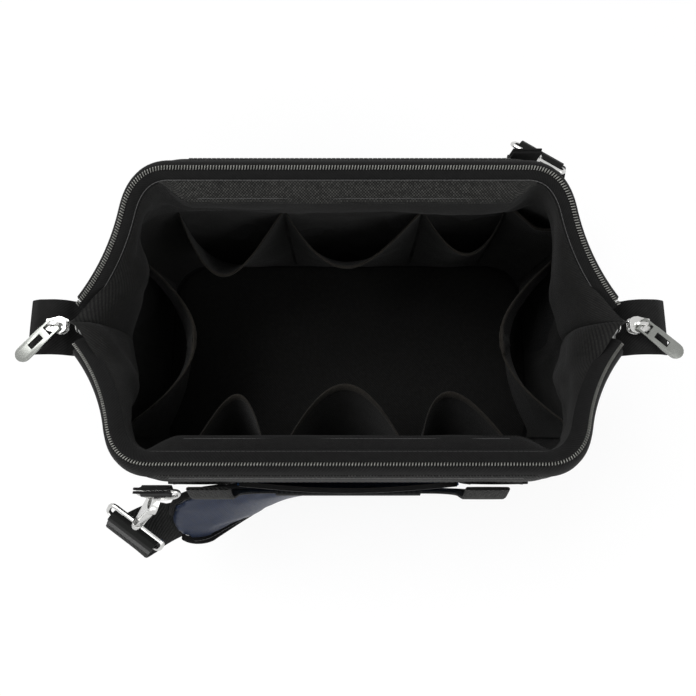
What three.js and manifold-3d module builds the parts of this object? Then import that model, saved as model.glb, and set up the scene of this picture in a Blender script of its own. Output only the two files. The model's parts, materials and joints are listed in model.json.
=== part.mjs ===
// A wide-mouth zippered tool bag, standing open: a stiff base, four soft walls, a mouth held open by two
// hinged steel frame halves in webbing sleeves, a coil zip with two sliders, two carrying handles,
// pockets inside and out, and a shoulder strap with a pad, clipped to two D-rings by swivel snap hooks.
//
// Millimetres, +Z up. The origin is the middle of the underside. +X runs along the mouth to the right
// and -Y is the front of the bag.
import * as THREE from 'three';
import Module from 'manifold-3d';
import { mergeVertices } from 'three/addons/utils/BufferGeometryUtils.js';

const wasm = await Module();
wasm.setup();

// Driving dimensions of the body
const BASE_LENGTH = 360;
const BASE_DEPTH = 205;
const BASE_CORNER = 38;
const BASE_THICKNESS = 3;
const BOARD_THICKNESS = 3;
const BOARD_MARGIN = 3;
const WALL = 5;
const GAP = 0.4;
const LOW_BULGE_LENGTH = 380;
const LOW_BULGE_DEPTH = 218;
const LOW_BULGE_HEIGHT = 70;
const HIGH_BULGE_LENGTH = 402;
const HIGH_BULGE_DEPTH = 225;
const HIGH_BULGE_HEIGHT = 150;

// Mouth frame: each half swings about the long axis through its end rivets
const OPEN_ANGLE = THREE.MathUtils.degToRad(61);
const PIVOT_HEIGHT = 172;
const PIVOT_X = 184;
const RIM_REACH = 108;
const RIM_STRAIGHT = 116;
const CORNER_X = 150;
const CORNER_REACH = 80;
const ARM_WAIST_X = 164;
const ARM_WAIST_REACH = 42;
const ARM_END_X = 196;
const ARM_END_REACH = 10;
const ROD_RADIUS = 2.5;
const HALF_OFFSET = 14;
const EYE_RADIUS = 6.5;
const EYE_THICKNESS = 3;
const RIVET_RADIUS = 2.4;
const RIVET_HEAD_RADIUS = 5;
const RIVET_HEAD = 1.6;
const SLEEVE_WIDTH = 24;
const SLEEVE_WEB = 1.8;
const SLEEVE_SLIT = 0.6;
const ROD_CLEARANCE = 0.6;
const TAPE_THICKNESS = 1;
const TAPE_EDGE = 16.5;
const COIL_RADIUS = 1.5;
const COIL_LINE = 2.2;

// Rim band, the webbing sewn round the outside below the zip
const BAND_SHARE = 0.13;
const BAND_THICKNESS = 3;
const BAND_DROP = 17.6;
const BAND_OUTSET = 2.8;
const BAND_LOW_GAP = 0.006;

// Webbing and outside pieces
const WEBBING = 38;
const WEBBING_THICKNESS = 2.2;
const ANCHOR_X = 88;
const POCKET_FRONT_HALF = 66;
const POCKET_WALL = 2.4;
const POCKET_TOP = 0.8;
const END_POCKET_SPAN = 0.3;
const END_POCKET_TOP = 0.6;
const END_POCKET_SLACK = 9;
const LINING = 2;
const POCKET_GAP = 0.7;
const POCKET_RIM = 0.6;
const POCKET_DIP = 0.05;
const POCKET_FOOT = 3;
const FRONT_MOUTHS = { left: 58, middle: 66, right: 60 };
const BACK_MOUTHS = { left: 50, middle: 43, right: 32 };
const CORNER_MOUTH = 12;
const END_MOUTH = 66;
const END_FOOT = 22;
const END_INNER_SPAN = 0.36;
const HANDLE_AXIS_HEIGHT = 197;
const HANDLE_DROP = 66;
const HANDLE_STANDOFF = RIM_REACH + 8;
const HANDLE_TURN = 30;
const GRIP_HALF = 52;
const GRIP_HEIGHT = 31;
const GRIP_THICKNESS = 6;
const HANDLE_WEBBING = 28;

// Zip ends
const TAB_HALF_WIDTH = 20;
const TAB_THICKNESS = 2;
const SLIDER_LENGTH = 14;
const SLIDER_WIDTH = 12;
const SLIDER_STANDOFF = 7;
const CHAIN_START = 1.5;
const SLIDER_PLATE = 1.2;
const CHAIN_WIDTH = 6;
const CHAIN_HEIGHT = 2.6;
const PULL_LENGTH = 26;
const PULL_WIDTH = 11;
const PULL_THICKNESS = 1.6;
const PULL_ARM = 9;
const PULL_RING = 7.4;
const PULL_WIRE = 1.5;
const PULL_SLOT_WIDTH = 4.5;
const PULL_SLOT_LENGTH = 11;
const PULL_LIFT = 1.9;
const PULL_DROOP = THREE.MathUtils.degToRad(4);
const RIGHT_PULL_SWING = THREE.MathUtils.degToRad(-39);
const LEFT_PULL_SWING = THREE.MathUtils.degToRad(45);
const BRIDGE_SPAN = 5.8;
const BRIDGE_WIDTH = 2;
const BRIDGE_RISE = 3.9;

// Strap hardware
const RING_WIDTH = 26;
const RING_DEPTH = 18;
const RING_WIRE = 1.5;
const HOOK_THICKNESS = 4.6;
const HOOK_INNER = 6;
const HOOK_WALL = 3.2;
const LOOP_INNER = 42;
const LOOP_DEPTH = 10;
const LOOP_WIRE = 1.6;
const PAD_WIDTH = 64;
const PAD_THICKNESS = 10;
const PAD_STEPS = 12;
const PAD_FROM = 0.175;
const PAD_TO = 0.42;
const HOOK_SHANK = 36;
const JAW_LOW = THREE.MathUtils.degToRad(-34);
const JAW_TOP = 5.2;
const GATE_CLEARANCE = 0.4;
const HOOK_PLAY = 1;
const PIN_RADIUS = 1.8;
const COLLAR_RADIUS = 4;
const COLLAR_HEIGHT = 5;
const PIN_LENGTH = COLLAR_HEIGHT + 2 * GAP + 0.7;
const RING_ROUND = -0.008;
const RING_HEIGHT = 0.945;
const RING_TILT = THREE.MathUtils.degToRad(-14);
const RING_TAB = 18;
const FOLD_LENGTH = 14;

const black = 0x232423;
const dark = 0x1b1c1c;
const navy = 0x16283d;
const steel = 0x9a9d9b;

function paint(color, roughness, metalness = 0) {
  return new THREE.MeshStandardMaterial({ color, roughness, metalness });
}

const lining = () => paint(dark, 0.85);
const cloth = () => paint(black, 0.9);
const webbing = () => paint(0x2b2b2a, 0.85);
const blue = () => paint(navy, 0.8);
const metal = () => paint(steel, 0.3, 1);

const bag = new THREE.Group();

function add(name, geometry, material, parent = bag) {
  const mesh = new THREE.Mesh(geometry, material);
  mesh.name = name;
  parent.add(mesh);
  return mesh;
}

// Closed meshes from rings and sheets

function closedMesh(points, triangles) {
  const geometry = new THREE.BufferGeometry();
  const flat = points.flatMap((p) => [p.x, p.y, p.z]);
  geometry.setAttribute('position', new THREE.Float32BufferAttribute(flat, 3));
  geometry.setIndex(triangles);
  if (signedVolume(points, triangles) < 0) {
    for (let i = 0; i < triangles.length; i += 3) {
      [triangles[i], triangles[i + 1]] = [triangles[i + 1], triangles[i]];
    }
    geometry.setIndex(triangles);
  }
  geometry.computeVertexNormals();
  return geometry;
}

function signedVolume(points, triangles) {
  const cross = new THREE.Vector3();
  let six = 0;
  for (let i = 0; i < triangles.length; i += 3) {
    cross.crossVectors(points[triangles[i + 1]], points[triangles[i + 2]]);
    six += cross.dot(points[triangles[i]]);
  }
  return six / 6;
}

// Joins rings of equal length into a tube and closes both ends with the section's own triangles.
function loft(rings, section) {
  const n = rings[0].length;
  const points = rings.flat();
  const triangles = [];
  for (let r = 0; r + 1 < rings.length; r++) {
    for (let i = 0; i < n; i++) {
      const a = r * n + i;
      const b = r * n + ((i + 1) % n);
      triangles.push(a, b, b + n, a, b + n, a + n);
    }
  }
  const last = (rings.length - 1) * n;
  for (const [a, b, c] of THREE.ShapeUtils.triangulateShape(section, [])) {
    triangles.push(a, c, b, last + a, last + b, last + c);
  }
  return closedMesh(points, triangles);
}

// A section in (across, through) placed at each station of a path.
function sweep(stations, section) {
  const rings = stations.map(({ p, across, through, scale = 1 }) =>
    section.map((q) => p.clone().addScaledVector(across, q.x * scale).addScaledVector(through, q.y)));
  return loft(rings, section);
}

// A sheet: an outer and an inner grid of points, joined along the four edges.
function sheet(outer, inner) {
  const rows = outer.length;
  const columns = outer[0].length;
  const points = [...outer.flat(), ...inner.flat()];
  const half = rows * columns;
  const triangles = [];
  const quad = (a, b, c, d) => triangles.push(a, b, c, a, c, d);
  for (let r = 0; r + 1 < rows; r++) {
    for (let c = 0; c + 1 < columns; c++) {
      const a = r * columns + c;
      quad(a, a + 1, a + columns + 1, a + columns);
      quad(half + a, half + a + columns, half + a + columns + 1, half + a + 1);
    }
  }
  for (let c = 0; c + 1 < columns; c++) {
    const top = (rows - 1) * columns + c;
    quad(c, half + c, half + c + 1, c + 1);
    quad(top, top + 1, half + top + 1, half + top);
  }
  for (let r = 0; r + 1 < rows; r++) {
    const a = r * columns;
    const b = a + columns - 1;
    quad(a, a + columns, half + a + columns, half + a);
    quad(b, half + b, half + b + columns, b + columns);
  }
  return closedMesh(points, triangles);
}

const vec = (x, y, z) => new THREE.Vector3(x, y, z);
const at = (x, y) => new THREE.Vector2(x, y);

function rectangle(width, height) {
  const w = width / 2;
  const h = height / 2;
  return [at(-w, -h), at(w, -h), at(w, h), at(-w, h)];
}

function circle(radius, sides, x = 0, y = 0) {
  return Array.from({ length: sides }, (_, i) => {
    const a = (2 * Math.PI * i) / sides;
    return at(x + radius * Math.cos(a), y + radius * Math.sin(a));
  });
}

function solid(geometry) {
  const merged = geometry.clone();
  for (const name of Object.keys(merged.attributes)) {
    if (name !== 'position') merged.deleteAttribute(name);
  }
  const tidy = mergeVertices(merged, 1e-4);
  return new wasm.Manifold(new wasm.Mesh({
    numProp: 3,
    vertProperties: new Float32Array(tidy.attributes.position.array),
    triVerts: new Uint32Array(tidy.index.array),
  }));
}

function fromSolid(manifold) {
  const { vertProperties, triVerts } = manifold.getMesh();
  const geometry = new THREE.BufferGeometry();
  geometry.setAttribute('position', new THREE.BufferAttribute(vertProperties, 3));
  geometry.setIndex(new THREE.BufferAttribute(triVerts, 1));
  geometry.computeVertexNormals();
  return geometry;
}

// The mouth line in a frame half's own plane: x along the bag, reach away from the hinge line.
// Its corner runs smoothly into the arm.
const armLean = (ARM_WAIST_X - CORNER_X) / (CORNER_REACH - ARM_WAIST_REACH);
const corner = new THREE.QuadraticBezierCurve(
  at(RIM_STRAIGHT, RIM_REACH),
  at(CORNER_X - (RIM_REACH - CORNER_REACH) * armLean, RIM_REACH),
  at(CORNER_X, CORNER_REACH),
);
const arm = new THREE.QuadraticBezierCurve(
  at(CORNER_X, CORNER_REACH),
  at(ARM_WAIST_X, ARM_WAIST_REACH),
  at(ARM_END_X, ARM_END_REACH),
);
const CORNER_FROM = 0.5;
const CORNER_TO = 0.68;
const SLEEVE_END = 0.86;
const ROD_STRAIGHT_END = 0.87;
const ZIP_END = 0.968;
const BAND_END = 0.915;
const RIM_TURNS_IN = 0.93;

// One quarter of the mouth line, from its middle (0) to its end (1), with its outward normal.
function mouthAt(share) {
  let p;
  let t;
  if (share <= CORNER_FROM) {
    p = at((RIM_STRAIGHT * share) / CORNER_FROM, RIM_REACH);
    t = at(1, 0);
  } else {
    const onCorner = share <= CORNER_TO;
    const curve = onCorner ? corner : arm;
    const s = onCorner
      ? (share - CORNER_FROM) / (CORNER_TO - CORNER_FROM)
      : (share - CORNER_TO) / (1 - CORNER_TO);
    p = curve.getPoint(s);
    t = curve.getTangent(s);
  }
  return { p, out: at(-t.y, t.x) };
}

// A half's own coordinates (through, reach) turned out to where they are with the bag open.
function opened(x, through, reach) {
  return vec(x, through, reach)
    .applyAxisAngle(vec(1, 0, 0), OPEN_ANGLE)
    .add(vec(0, 0, PIVOT_HEIGHT));
}

// One quarter of a rounded rectangle with the same share.
function roundedAt(share, length, depth, radius) {
  const straight = length / 2 - radius;
  const side = depth / 2 - radius;
  if (share <= CORNER_FROM) return at((straight * share) / CORNER_FROM, depth / 2);
  if (share <= CORNER_TO) {
    const a = ((share - CORNER_FROM) / (CORNER_TO - CORNER_FROM)) * (Math.PI / 2);
    return at(straight + radius * Math.sin(a), side + radius * Math.cos(a));
  }
  return at(length / 2, side * (1 - (share - CORNER_TO) / (1 - CORNER_TO)));
}

// The outer face of the walls. Round runs 0 at the front middle, 1 right end, 2 back, 3 left end;
// height runs from 0 at the base to 1 at the zip.
const WALL_FOOT = BASE_THICKNESS + GAP;

function surfaceAt(round, height) {
  const turn = ((round % 4) + 4) % 4;
  const quarter = Math.floor(turn);
  const part = turn - quarter;
  const share = quarter % 2 === 0 ? part : 1 - part;
  const sideX = quarter < 2 ? 1 : -1;
  const sideY = quarter === 0 || quarter === 3 ? -1 : 1;
  const foot = roundedAt(share, BASE_LENGTH, BASE_DEPTH, BASE_CORNER);
  const low = roundedAt(share, LOW_BULGE_LENGTH, LOW_BULGE_DEPTH, BASE_CORNER + 8);
  const high = roundedAt(share, HIGH_BULGE_LENGTH, HIGH_BULGE_DEPTH, BASE_CORNER + 16);
  const { p, out } = mouthAt(share);
  const rim = opened(p.x + out.x * BAND_OUTSET, -BAND_DROP, p.y + out.y * BAND_OUTSET);
  const h = height;
  const g = 1 - h;
  const b = [g * g * g, 3 * g * g * h, 3 * g * h * h, h * h * h];
  const x = b[0] * foot.x + b[1] * low.x + b[2] * high.x + b[3] * rim.x;
  const rimDepth = -rim.y * Math.min(1, (1 - share) / (1 - RIM_TURNS_IN));
  const y = b[0] * foot.y + b[1] * low.y + b[2] * high.y + b[3] * rimDepth;
  const z = b[0] * WALL_FOOT + b[1] * LOW_BULGE_HEIGHT + b[2] * HIGH_BULGE_HEIGHT + b[3] * rim.z;
  return vec(sideX * x, sideY * y, z);
}

function wallNormal(round, height) {
  const e = 0.004;
  const h = Math.min(height, 1 - e);
  const along = surfaceAt(round + e, h).sub(surfaceAt(round - e, h));
  const up = surfaceAt(round, h + e).sub(surfaceAt(round, h));
  return along.cross(up).normalize();
}

// The walls are flat between these places in each quarter, so that pieces sewn to them lie against them.
const FOLDS = [0, 0.25, 0.5, 0.545, 0.59, 0.635, 0.68, 0.74, 0.8, 0.87, 0.93, 0.96];
const foldLines = [];
for (let quarter = -4; quarter < 5; quarter++) {
  const shares = quarter % 2 === 0 ? FOLDS : [0, ...FOLDS.slice(1).map((s) => 1 - s).reverse()];
  foldLines.push(...shares.map((s) => quarter + s));
}

function wallAt(round, height) {
  const next = foldLines.findIndex((f) => f > round + 1e-9);
  const a = foldLines[next - 1];
  const b = foldLines[next];
  return surfaceAt(a, height).lerp(surfaceAt(b, height), (round - a) / (b - a));
}

// Columns at the fold lines between two places, and evenly spaced ones where they are far apart.
function columnsBetween(from, to, count) {
  const step = (to - from) / count;
  const marks = [from, ...foldLines.filter((f) => f > from + step / 5 && f < to - step / 5), to];
  const columns = [];
  for (let i = 0; i + 1 < marks.length; i++) {
    const pieces = Math.max(1, Math.round((marks[i + 1] - marks[i]) / step));
    for (let j = 0; j < pieces; j++) {
      columns.push(marks[i] + ((marks[i + 1] - marks[i]) * j) / pieces);
    }
  }
  return [...columns, to];
}

// A piece that follows the wall between two places round it and two heights. Lift is its outer face's
// distance outwards from the wall's outer face; it may depend on the place within the piece.
function wallPiece({ from, to, low, high, lift = () => 0, thickness, columns = 12, rows = 8 }) {
  const places = columnsBetween(from, to, columns);
  const grid = (extra) => Array.from({ length: rows + 1 }, (_, r) =>
    places.map((round) => {
      const u = (round - from) / (to - from);
      const v = r / rows;
      const top = typeof high === 'function' ? high(u) : high;
      const height = low + (top - low) * v;
      const away = lift(u, v) - extra;
      return wallAt(round, height).addScaledVector(wallNormal(round, height), away);
    }));
  return sheet(grid(0), grid(thickness));
}

// The place round the wall of a point x along the front or back.
const roundOfX = (x) => (x / RIM_STRAIGHT) * CORNER_FROM;

// Base
function roundedShape(length, depth, radius) {
  const shape = new THREE.Shape();
  const x = length / 2 - radius;
  const y = depth / 2 - radius;
  shape.absarc(x, y, radius, 0, Math.PI / 2);
  shape.absarc(-x, y, radius, Math.PI / 2, Math.PI);
  shape.absarc(-x, -y, radius, Math.PI, 1.5 * Math.PI);
  shape.absarc(x, -y, radius, 1.5 * Math.PI, 2 * Math.PI);
  return shape;
}

function plate(shape, thickness, segments = 6) {
  return new THREE.ExtrudeGeometry(shape, { depth: thickness, bevelEnabled: false, curveSegments: segments });
}

add('base_panel', plate(roundedShape(BASE_LENGTH, BASE_DEPTH, BASE_CORNER), BASE_THICKNESS), cloth());
const boardInset = 2 * (WALL + BOARD_MARGIN);
const board = add(
  'base_board',
  plate(roundedShape(BASE_LENGTH - boardInset, BASE_DEPTH - boardInset, BASE_CORNER), BOARD_THICKNESS),
  lining(),
);
board.position.z = BASE_THICKNESS + GAP;

// Walls, from seam to seam, up to the rim band. The end walls rise to the zip in the middle.
const SEAM = 0.6;
const SEAM_GAP = 0.002;
const WALL_TOP = 1 - BAND_SHARE;
for (const [name, middle] of [['front', 0], ['back', 2]]) {
  const geometry = wallPiece({
    from: middle - SEAM + SEAM_GAP,
    to: middle + SEAM - SEAM_GAP,
    low: 0,
    high: WALL_TOP,
    thickness: WALL,
    columns: 4,
    rows: 6,
  });
  add(`${name}_panel`, geometry, cloth());
}
const endRise = (u) => (Math.abs(u - 0.5) * 2 * (1 - SEAM) < 1 - RIM_TURNS_IN ? 1 : WALL_TOP);
for (const [name, middle] of [['right', 1], ['left', 3]]) {
  const geometry = wallPiece({
    from: middle - (1 - SEAM) + SEAM_GAP,
    to: middle + (1 - SEAM) - SEAM_GAP,
    low: 0,
    high: endRise,
    thickness: WALL,
    columns: 6,
    rows: 6,
  });
  add(`${name}_end_panel`, geometry, cloth());
}

// Outside pockets and the load webbing that carries the handles
for (const [name, middle] of [['front', 0], ['back', 2]]) {
  const pocket = wallPiece({
    from: middle - roundOfX(POCKET_FRONT_HALF),
    to: middle + roundOfX(POCKET_FRONT_HALF),
    low: 0.03,
    high: POCKET_TOP,
    lift: () => GAP + POCKET_WALL,
    thickness: POCKET_WALL,
    columns: 8,
    rows: 6,
  });
  add(`${name}_outer_pocket`, pocket, blue());
  for (const side of [-1, 1]) {
    const x = side * ANCHOR_X;
    const right = middle === 0 ? side > 0 : side < 0;
    const strap = wallPiece({
      from: middle + roundOfX(x - WEBBING / 2),
      to: middle + roundOfX(x + WEBBING / 2),
      low: 0.01,
      high: WALL_TOP - 0.01,
      lift: () => GAP + WEBBING_THICKNESS,
      thickness: WEBBING_THICKNESS,
      columns: 3,
      rows: 7,
    });
    add(`${name}_${right ? 'right' : 'left'}_load_strap`, strap, webbing());
  }
}
for (const [name, middle] of [['right', 1], ['left', 3]]) {
  const pocket = wallPiece({
    from: middle - END_POCKET_SPAN,
    to: middle + END_POCKET_SPAN,
    low: 0.03,
    high: END_POCKET_TOP,
    lift: (u, v) => GAP + POCKET_WALL + END_POCKET_SLACK * Math.sin(Math.PI * u) * v,
    thickness: POCKET_WALL,
    columns: 10,
    rows: 5,
  });
  add(`${name}_end_pocket`, pocket, blue());
}

// Inside pockets: each stands off the wall in the middle of its mouth and dips there.
function innerPocket(name, from, to, { mouth, foot, top, dip, columns = 8 }) {
  const belly = (u, v) => Math.sin(Math.PI * u) * (foot + (mouth - foot) * v);
  const geometry = wallPiece({
    from,
    to,
    low: 0.06,
    high: (u) => top - dip * Math.sin(Math.PI * u),
    lift: (u, v) => -(WALL + POCKET_GAP + belly(u, v)),
    thickness: LINING,
    columns,
    rows: 5,
  });
  add(name, geometry, lining());
}
const gapAround = roundOfX(1.5);
const longSide = (mouth) => ({ mouth, foot: POCKET_FOOT, top: POCKET_RIM, dip: POCKET_DIP });
function longPocket(name, middle, fromX, toX, mouth) {
  const from = middle + roundOfX(fromX) + gapAround;
  const to = middle + roundOfX(toX) - gapAround;
  innerPocket(name, from, to, longSide(mouth));
}
longPocket('front_left_pocket', 0, -112, -48, FRONT_MOUTHS.left);
longPocket('front_middle_pocket', 0, -48, 44, FRONT_MOUTHS.middle);
longPocket('front_right_pocket', 0, 44, 114, FRONT_MOUTHS.right);
longPocket('back_left_pocket', 2, 43, 115, BACK_MOUTHS.left);
longPocket('back_middle_pocket', 2, -50, 43, BACK_MOUTHS.middle);
longPocket('back_right_pocket', 2, -106, -50, BACK_MOUTHS.right);
innerPocket('back_corner_pocket', 2 - SEAM - 0.02, 2 + roundOfX(-106) - gapAround,
  { ...longSide(CORNER_MOUTH), top: POCKET_RIM + 0.08, dip: 0.02, columns: 6 });
for (const [name, middle] of [['right', 1], ['left', 3]]) {
  innerPocket(`${name}_inner_pocket`, middle - END_INNER_SPAN, middle + END_INNER_SPAN,
    { mouth: END_MOUTH, foot: END_FOOT, top: POCKET_RIM, dip: POCKET_DIP, columns: 14 });
}

// Mouth frame halves, zip and rim bands
function shares(endShare) {
  const straight = [0];
  const bend = [0, 1, 2, 3].map((i) => CORNER_FROM + ((CORNER_TO - CORNER_FROM) * i) / 4);
  const along = [0, 1, 2, 3, 4].map((i) => CORNER_TO + ((endShare - CORNER_TO) * i) / 4);
  const half = [...bend, ...along];
  return [...half.map((s) => -s).reverse(), ...straight, ...half];
}

// Stations along the mouth line: across points outwards in the half's plane, through is its Y.
function mouthStations(endShare) {
  return shares(endShare).map((s) => {
    const { p, out } = mouthAt(Math.abs(s));
    const way = Math.sign(s) || 1;
    return { p: vec(way * p.x, 0, p.y), across: vec(way * out.x, 0, out.y), through: vec(0, 1, 0) };
  });
}

// Webbing folded round a bar: its bore, two legs and the slit between them, hanging down from zero.
function foldSection(bore, web, slit, length, turns = 6) {
  const outer = bore + web;
  const legHalf = web + slit / 2;
  const outerAngle = Math.asin(legHalf / outer);
  const innerAngle = Math.asin(slit / 2 / bore);
  const arc = (radius, from, to) => Array.from({ length: turns + 1 }, (_, i) => {
    const a = from + ((to - from) * i) / turns;
    return at(-outer + radius * Math.cos(a), radius * Math.sin(a));
  });
  return [
    at(-length, -legHalf),
    ...arc(outer, -Math.PI + outerAngle, Math.PI - outerAngle),
    at(-length, legHalf),
    at(-length, slit / 2),
    ...arc(bore, Math.PI - innerAngle, -Math.PI + innerAngle),
    at(-length, -slit / 2),
  ];
}

const shifted = (section, x, y) => section.map((q) => at(q.x + x, q.y + y));
const rodBore = ROD_RADIUS + ROD_CLEARANCE;
const rodInset = rodBore + SLEEVE_WEB;

// A round bar through points, closed to a ring if asked.
function bar(points, radius, sides, reference, closed = false) {
  const count = points.length;
  const rings = points.map((p, i) => {
    const before = closed ? points[(i + count - 1) % count] : points[Math.max(i - 1, 0)];
    const after = closed ? points[(i + 1) % count] : points[Math.min(i + 1, count - 1)];
    const tangent = after.clone().sub(before).normalize();
    const through = reference.clone().addScaledVector(tangent, -reference.dot(tangent)).normalize();
    const across = tangent.clone().cross(through);
    return circle(radius, sides).map((q) =>
      p.clone().addScaledVector(across, q.x).addScaledVector(through, q.y));
  });
  if (!closed) return loft(rings, circle(radius, sides));
  const triangles = [];
  for (let r = 0; r < count; r++) {
    for (let i = 0; i < sides; i++) {
      const a = r * sides + i;
      const b = r * sides + ((i + 1) % sides);
      const next = ((r + 1) % count) * sides;
      triangles.push(a, b, next + ((i + 1) % sides), a, next + ((i + 1) % sides), next + i);
    }
  }
  return closedMesh(rings.flat(), triangles);
}

function cylinderAlongX(radius, length, x, sides = 20) {
  return new THREE.CylinderGeometry(radius, radius, length, sides).rotateZ(Math.PI / 2).translate(x, 0, 0);
}

const eyeGap = 0.4;
const eyeOffset = (EYE_THICKNESS + eyeGap) / 2;
const tongue = at(-8, 9);

function frameRod() {
  const inset = (s) => {
    const { p, out } = mouthAt(Math.abs(s));
    return vec((Math.sign(s) || 1) * (p.x - out.x * rodInset), -HALF_OFFSET, p.y - out.y * rodInset);
  };
  const outboard = PIVOT_X + eyeOffset;
  const inboard = -(PIVOT_X - eyeOffset);
  const middle = shares(ROD_STRAIGHT_END).map(inset);
  const points = [
    vec(inboard, tongue.x, tongue.y),
    vec(inboard + 2, -11, 15),
    ...middle,
    vec(outboard - 3, -11, 15),
    vec(outboard, tongue.x, tongue.y),
  ];
  let rod = solid(bar(points, ROD_RADIUS, 8, vec(0, 1, 0)));
  for (const x of [inboard, outboard]) {
    const length = Math.hypot(tongue.x, tongue.y) + ROD_RADIUS;
    const strip = new THREE.BoxGeometry(EYE_THICKNESS, 2 * ROD_RADIUS, length)
      .translate(0, 0, length / 2)
      .rotateX(Math.atan2(-tongue.x, tongue.y))
      .translate(x, 0, 0);
    rod = rod.add(solid(strip)).add(solid(cylinderAlongX(EYE_RADIUS, EYE_THICKNESS, x)));
  }
  for (const x of [inboard, outboard]) {
    rod = rod.subtract(solid(cylinderAlongX(RIVET_RADIUS + eyeGap, 2 * EYE_THICKNESS, x, 16)));
  }
  return fromSolid(rod);
}

function frameHalf(name, turn) {
  const facing = new THREE.Group();
  facing.rotation.z = turn;
  const half = new THREE.Group();
  half.position.z = PIVOT_HEIGHT;
  half.rotation.x = OPEN_ANGLE;
  facing.add(half);
  bag.add(facing);

  add(`${name}_frame_rod`, frameRod(), metal(), half);
  const sleeve = shifted(foldSection(rodBore, SLEEVE_WEB, SLEEVE_SLIT, SLEEVE_WIDTH), 0, -HALF_OFFSET);
  add(`${name}_frame_sleeve`, sweep(mouthStations(SLEEVE_END), sleeve), webbing(), half);
  const coilEdge = COIL_LINE + COIL_RADIUS + GAP;
  const tapeSection = rectangle(TAPE_THICKNESS, TAPE_EDGE - coilEdge);
  const tape = shifted(tapeSection, GAP + TAPE_THICKNESS / 2, -(TAPE_EDGE + coilEdge) / 2);
  add(`${name}_zip_tape`, sweep(mouthStations(ZIP_END), tape), webbing(), half);
  const coil = circle(COIL_RADIUS, 6, GAP + TAPE_THICKNESS / 2, -COIL_LINE);
  add(`${name}_zip_coil`, sweep(mouthStations(ZIP_END), coil), metal(), half);

  const middle = turn === 0 ? 0 : 2;
  const band = wallPiece({
    from: middle - BAND_END,
    to: middle + BAND_END,
    low: WALL_TOP + BAND_LOW_GAP,
    high: 1,
    thickness: BAND_THICKNESS,
    columns: 8,
    rows: 1,
  });
  add(`${name}_rim_band`, band, webbing());
}
frameHalf('front', 0);
frameHalf('back', Math.PI);

function rivet() {
  const shank = EYE_THICKNESS + eyeOffset + eyeGap;
  const profile = [
    at(0, -shank - RIVET_HEAD),
    at(RIVET_HEAD_RADIUS * 0.7, -shank - RIVET_HEAD),
    at(RIVET_HEAD_RADIUS, -shank - RIVET_HEAD * 0.4),
    at(RIVET_HEAD_RADIUS, -shank),
    at(RIVET_RADIUS, -shank),
    at(RIVET_RADIUS, shank),
    at(RIVET_HEAD_RADIUS, shank),
    at(RIVET_HEAD_RADIUS, shank + RIVET_HEAD * 0.4),
    at(RIVET_HEAD_RADIUS * 0.7, shank + RIVET_HEAD),
    at(0, shank + RIVET_HEAD),
  ];
  return new THREE.LatheGeometry(profile, 16).rotateZ(-Math.PI / 2);
}
for (const [name, way] of [['right', 1], ['left', -1]]) {
  const mesh = add(`${name}_frame_rivet`, fromSolid(solid(rivet())), metal());
  mesh.position.set(way * PIVOT_X, 0, PIVOT_HEIGHT);
}

// Carrying handles: webbing that hangs from a hinge line just below the rim, with a folded grip
function ribbon(points, widths, width, thickness, scales = points.map(() => 1)) {
  const stations = points.map((p, i) => {
    const before = points[Math.max(i - 1, 0)];
    const after = points[Math.min(i + 1, points.length - 1)];
    const tangent = after.clone().sub(before).normalize();
    const across = widths[i].clone().addScaledVector(tangent, -widths[i].dot(tangent)).normalize();
    return { p, across, through: tangent.clone().cross(across), scale: scales[i] };
  });
  return sweep(stations, rectangle(width, thickness));
}

function handle(name, turn) {
  const facing = new THREE.Group();
  facing.rotation.z = turn;
  bag.add(facing);
  const bottom = HANDLE_AXIS_HEIGHT - HANDLE_DROP;
  const turnX = ANCHOR_X - HANDLE_TURN;
  const turnZ = bottom + HANDLE_TURN;
  const half = [
    vec(ANCHOR_X, -handleTop, HANDLE_AXIS_HEIGHT - 1),
    vec(ANCHOR_X, -HANDLE_STANDOFF, HANDLE_AXIS_HEIGHT - 14),
  ];
  const ways = [vec(1, 0, 0), vec(1, 0, 0)];
  for (let i = 0; i <= 5; i++) {
    const a = (i / 5) * (Math.PI / 2);
    half.push(vec(turnX + HANDLE_TURN * Math.cos(a), -HANDLE_STANDOFF, turnZ - HANDLE_TURN * Math.sin(a)));
    ways.push(vec(Math.cos(a), 0, -Math.sin(a)));
  }
  const other = half.map((p) => vec(-p.x, p.y, p.z)).reverse();
  const otherWays = ways.map((w) => vec(-w.x, 0, w.z)).reverse();
  const strip = ribbon([...half, ...other], [...ways, ...otherWays], HANDLE_WEBBING, WEBBING_THICKNESS);
  add(`${name}_handle`, strip, webbing(), facing);

  const outline = new THREE.Shape(rectangle(GRIP_HEIGHT, GRIP_THICKNESS));
  const bore = rectangle(HANDLE_WEBBING + 2 * GAP, WEBBING_THICKNESS + 2 * GAP).reverse();
  outline.holes.push(new THREE.Path(bore));
  const grip = new THREE.ExtrudeGeometry(outline, { depth: 2 * GRIP_HALF, bevelEnabled: false })
    .translate(0, 0, -GRIP_HALF)
    .rotateY(Math.PI / 2)
    .translate(0, -HANDLE_STANDOFF, bottom);
  add(`${name}_grip`, grip, webbing(), facing);
}
const bandFace = wallAt(roundOfX(ANCHOR_X), 1 - BAND_SHARE / 2);
const handleTop = -bandFace.y + 1.5 * GAP + WEBBING_THICKNESS / 2 + 1;
handle('front', 0);
handle('back', Math.PI);

// Zip ends: a fabric tab with the closed end of the chain sewn to it, and a slider with its pull
const TAB_PATH = [at(1.2, -8.8), at(5.6, -4.4), at(12, -2.4), at(20, -2.4), at(24, -3), at(30, -6)]
  .map((q) => at(q.x + ARM_END_X, q.y + PIVOT_HEIGHT));
const tabTop = TAB_PATH[2].y + TAB_THICKNESS / 2;
const sliderX = ARM_END_X + SLIDER_STANDOFF;

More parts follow.
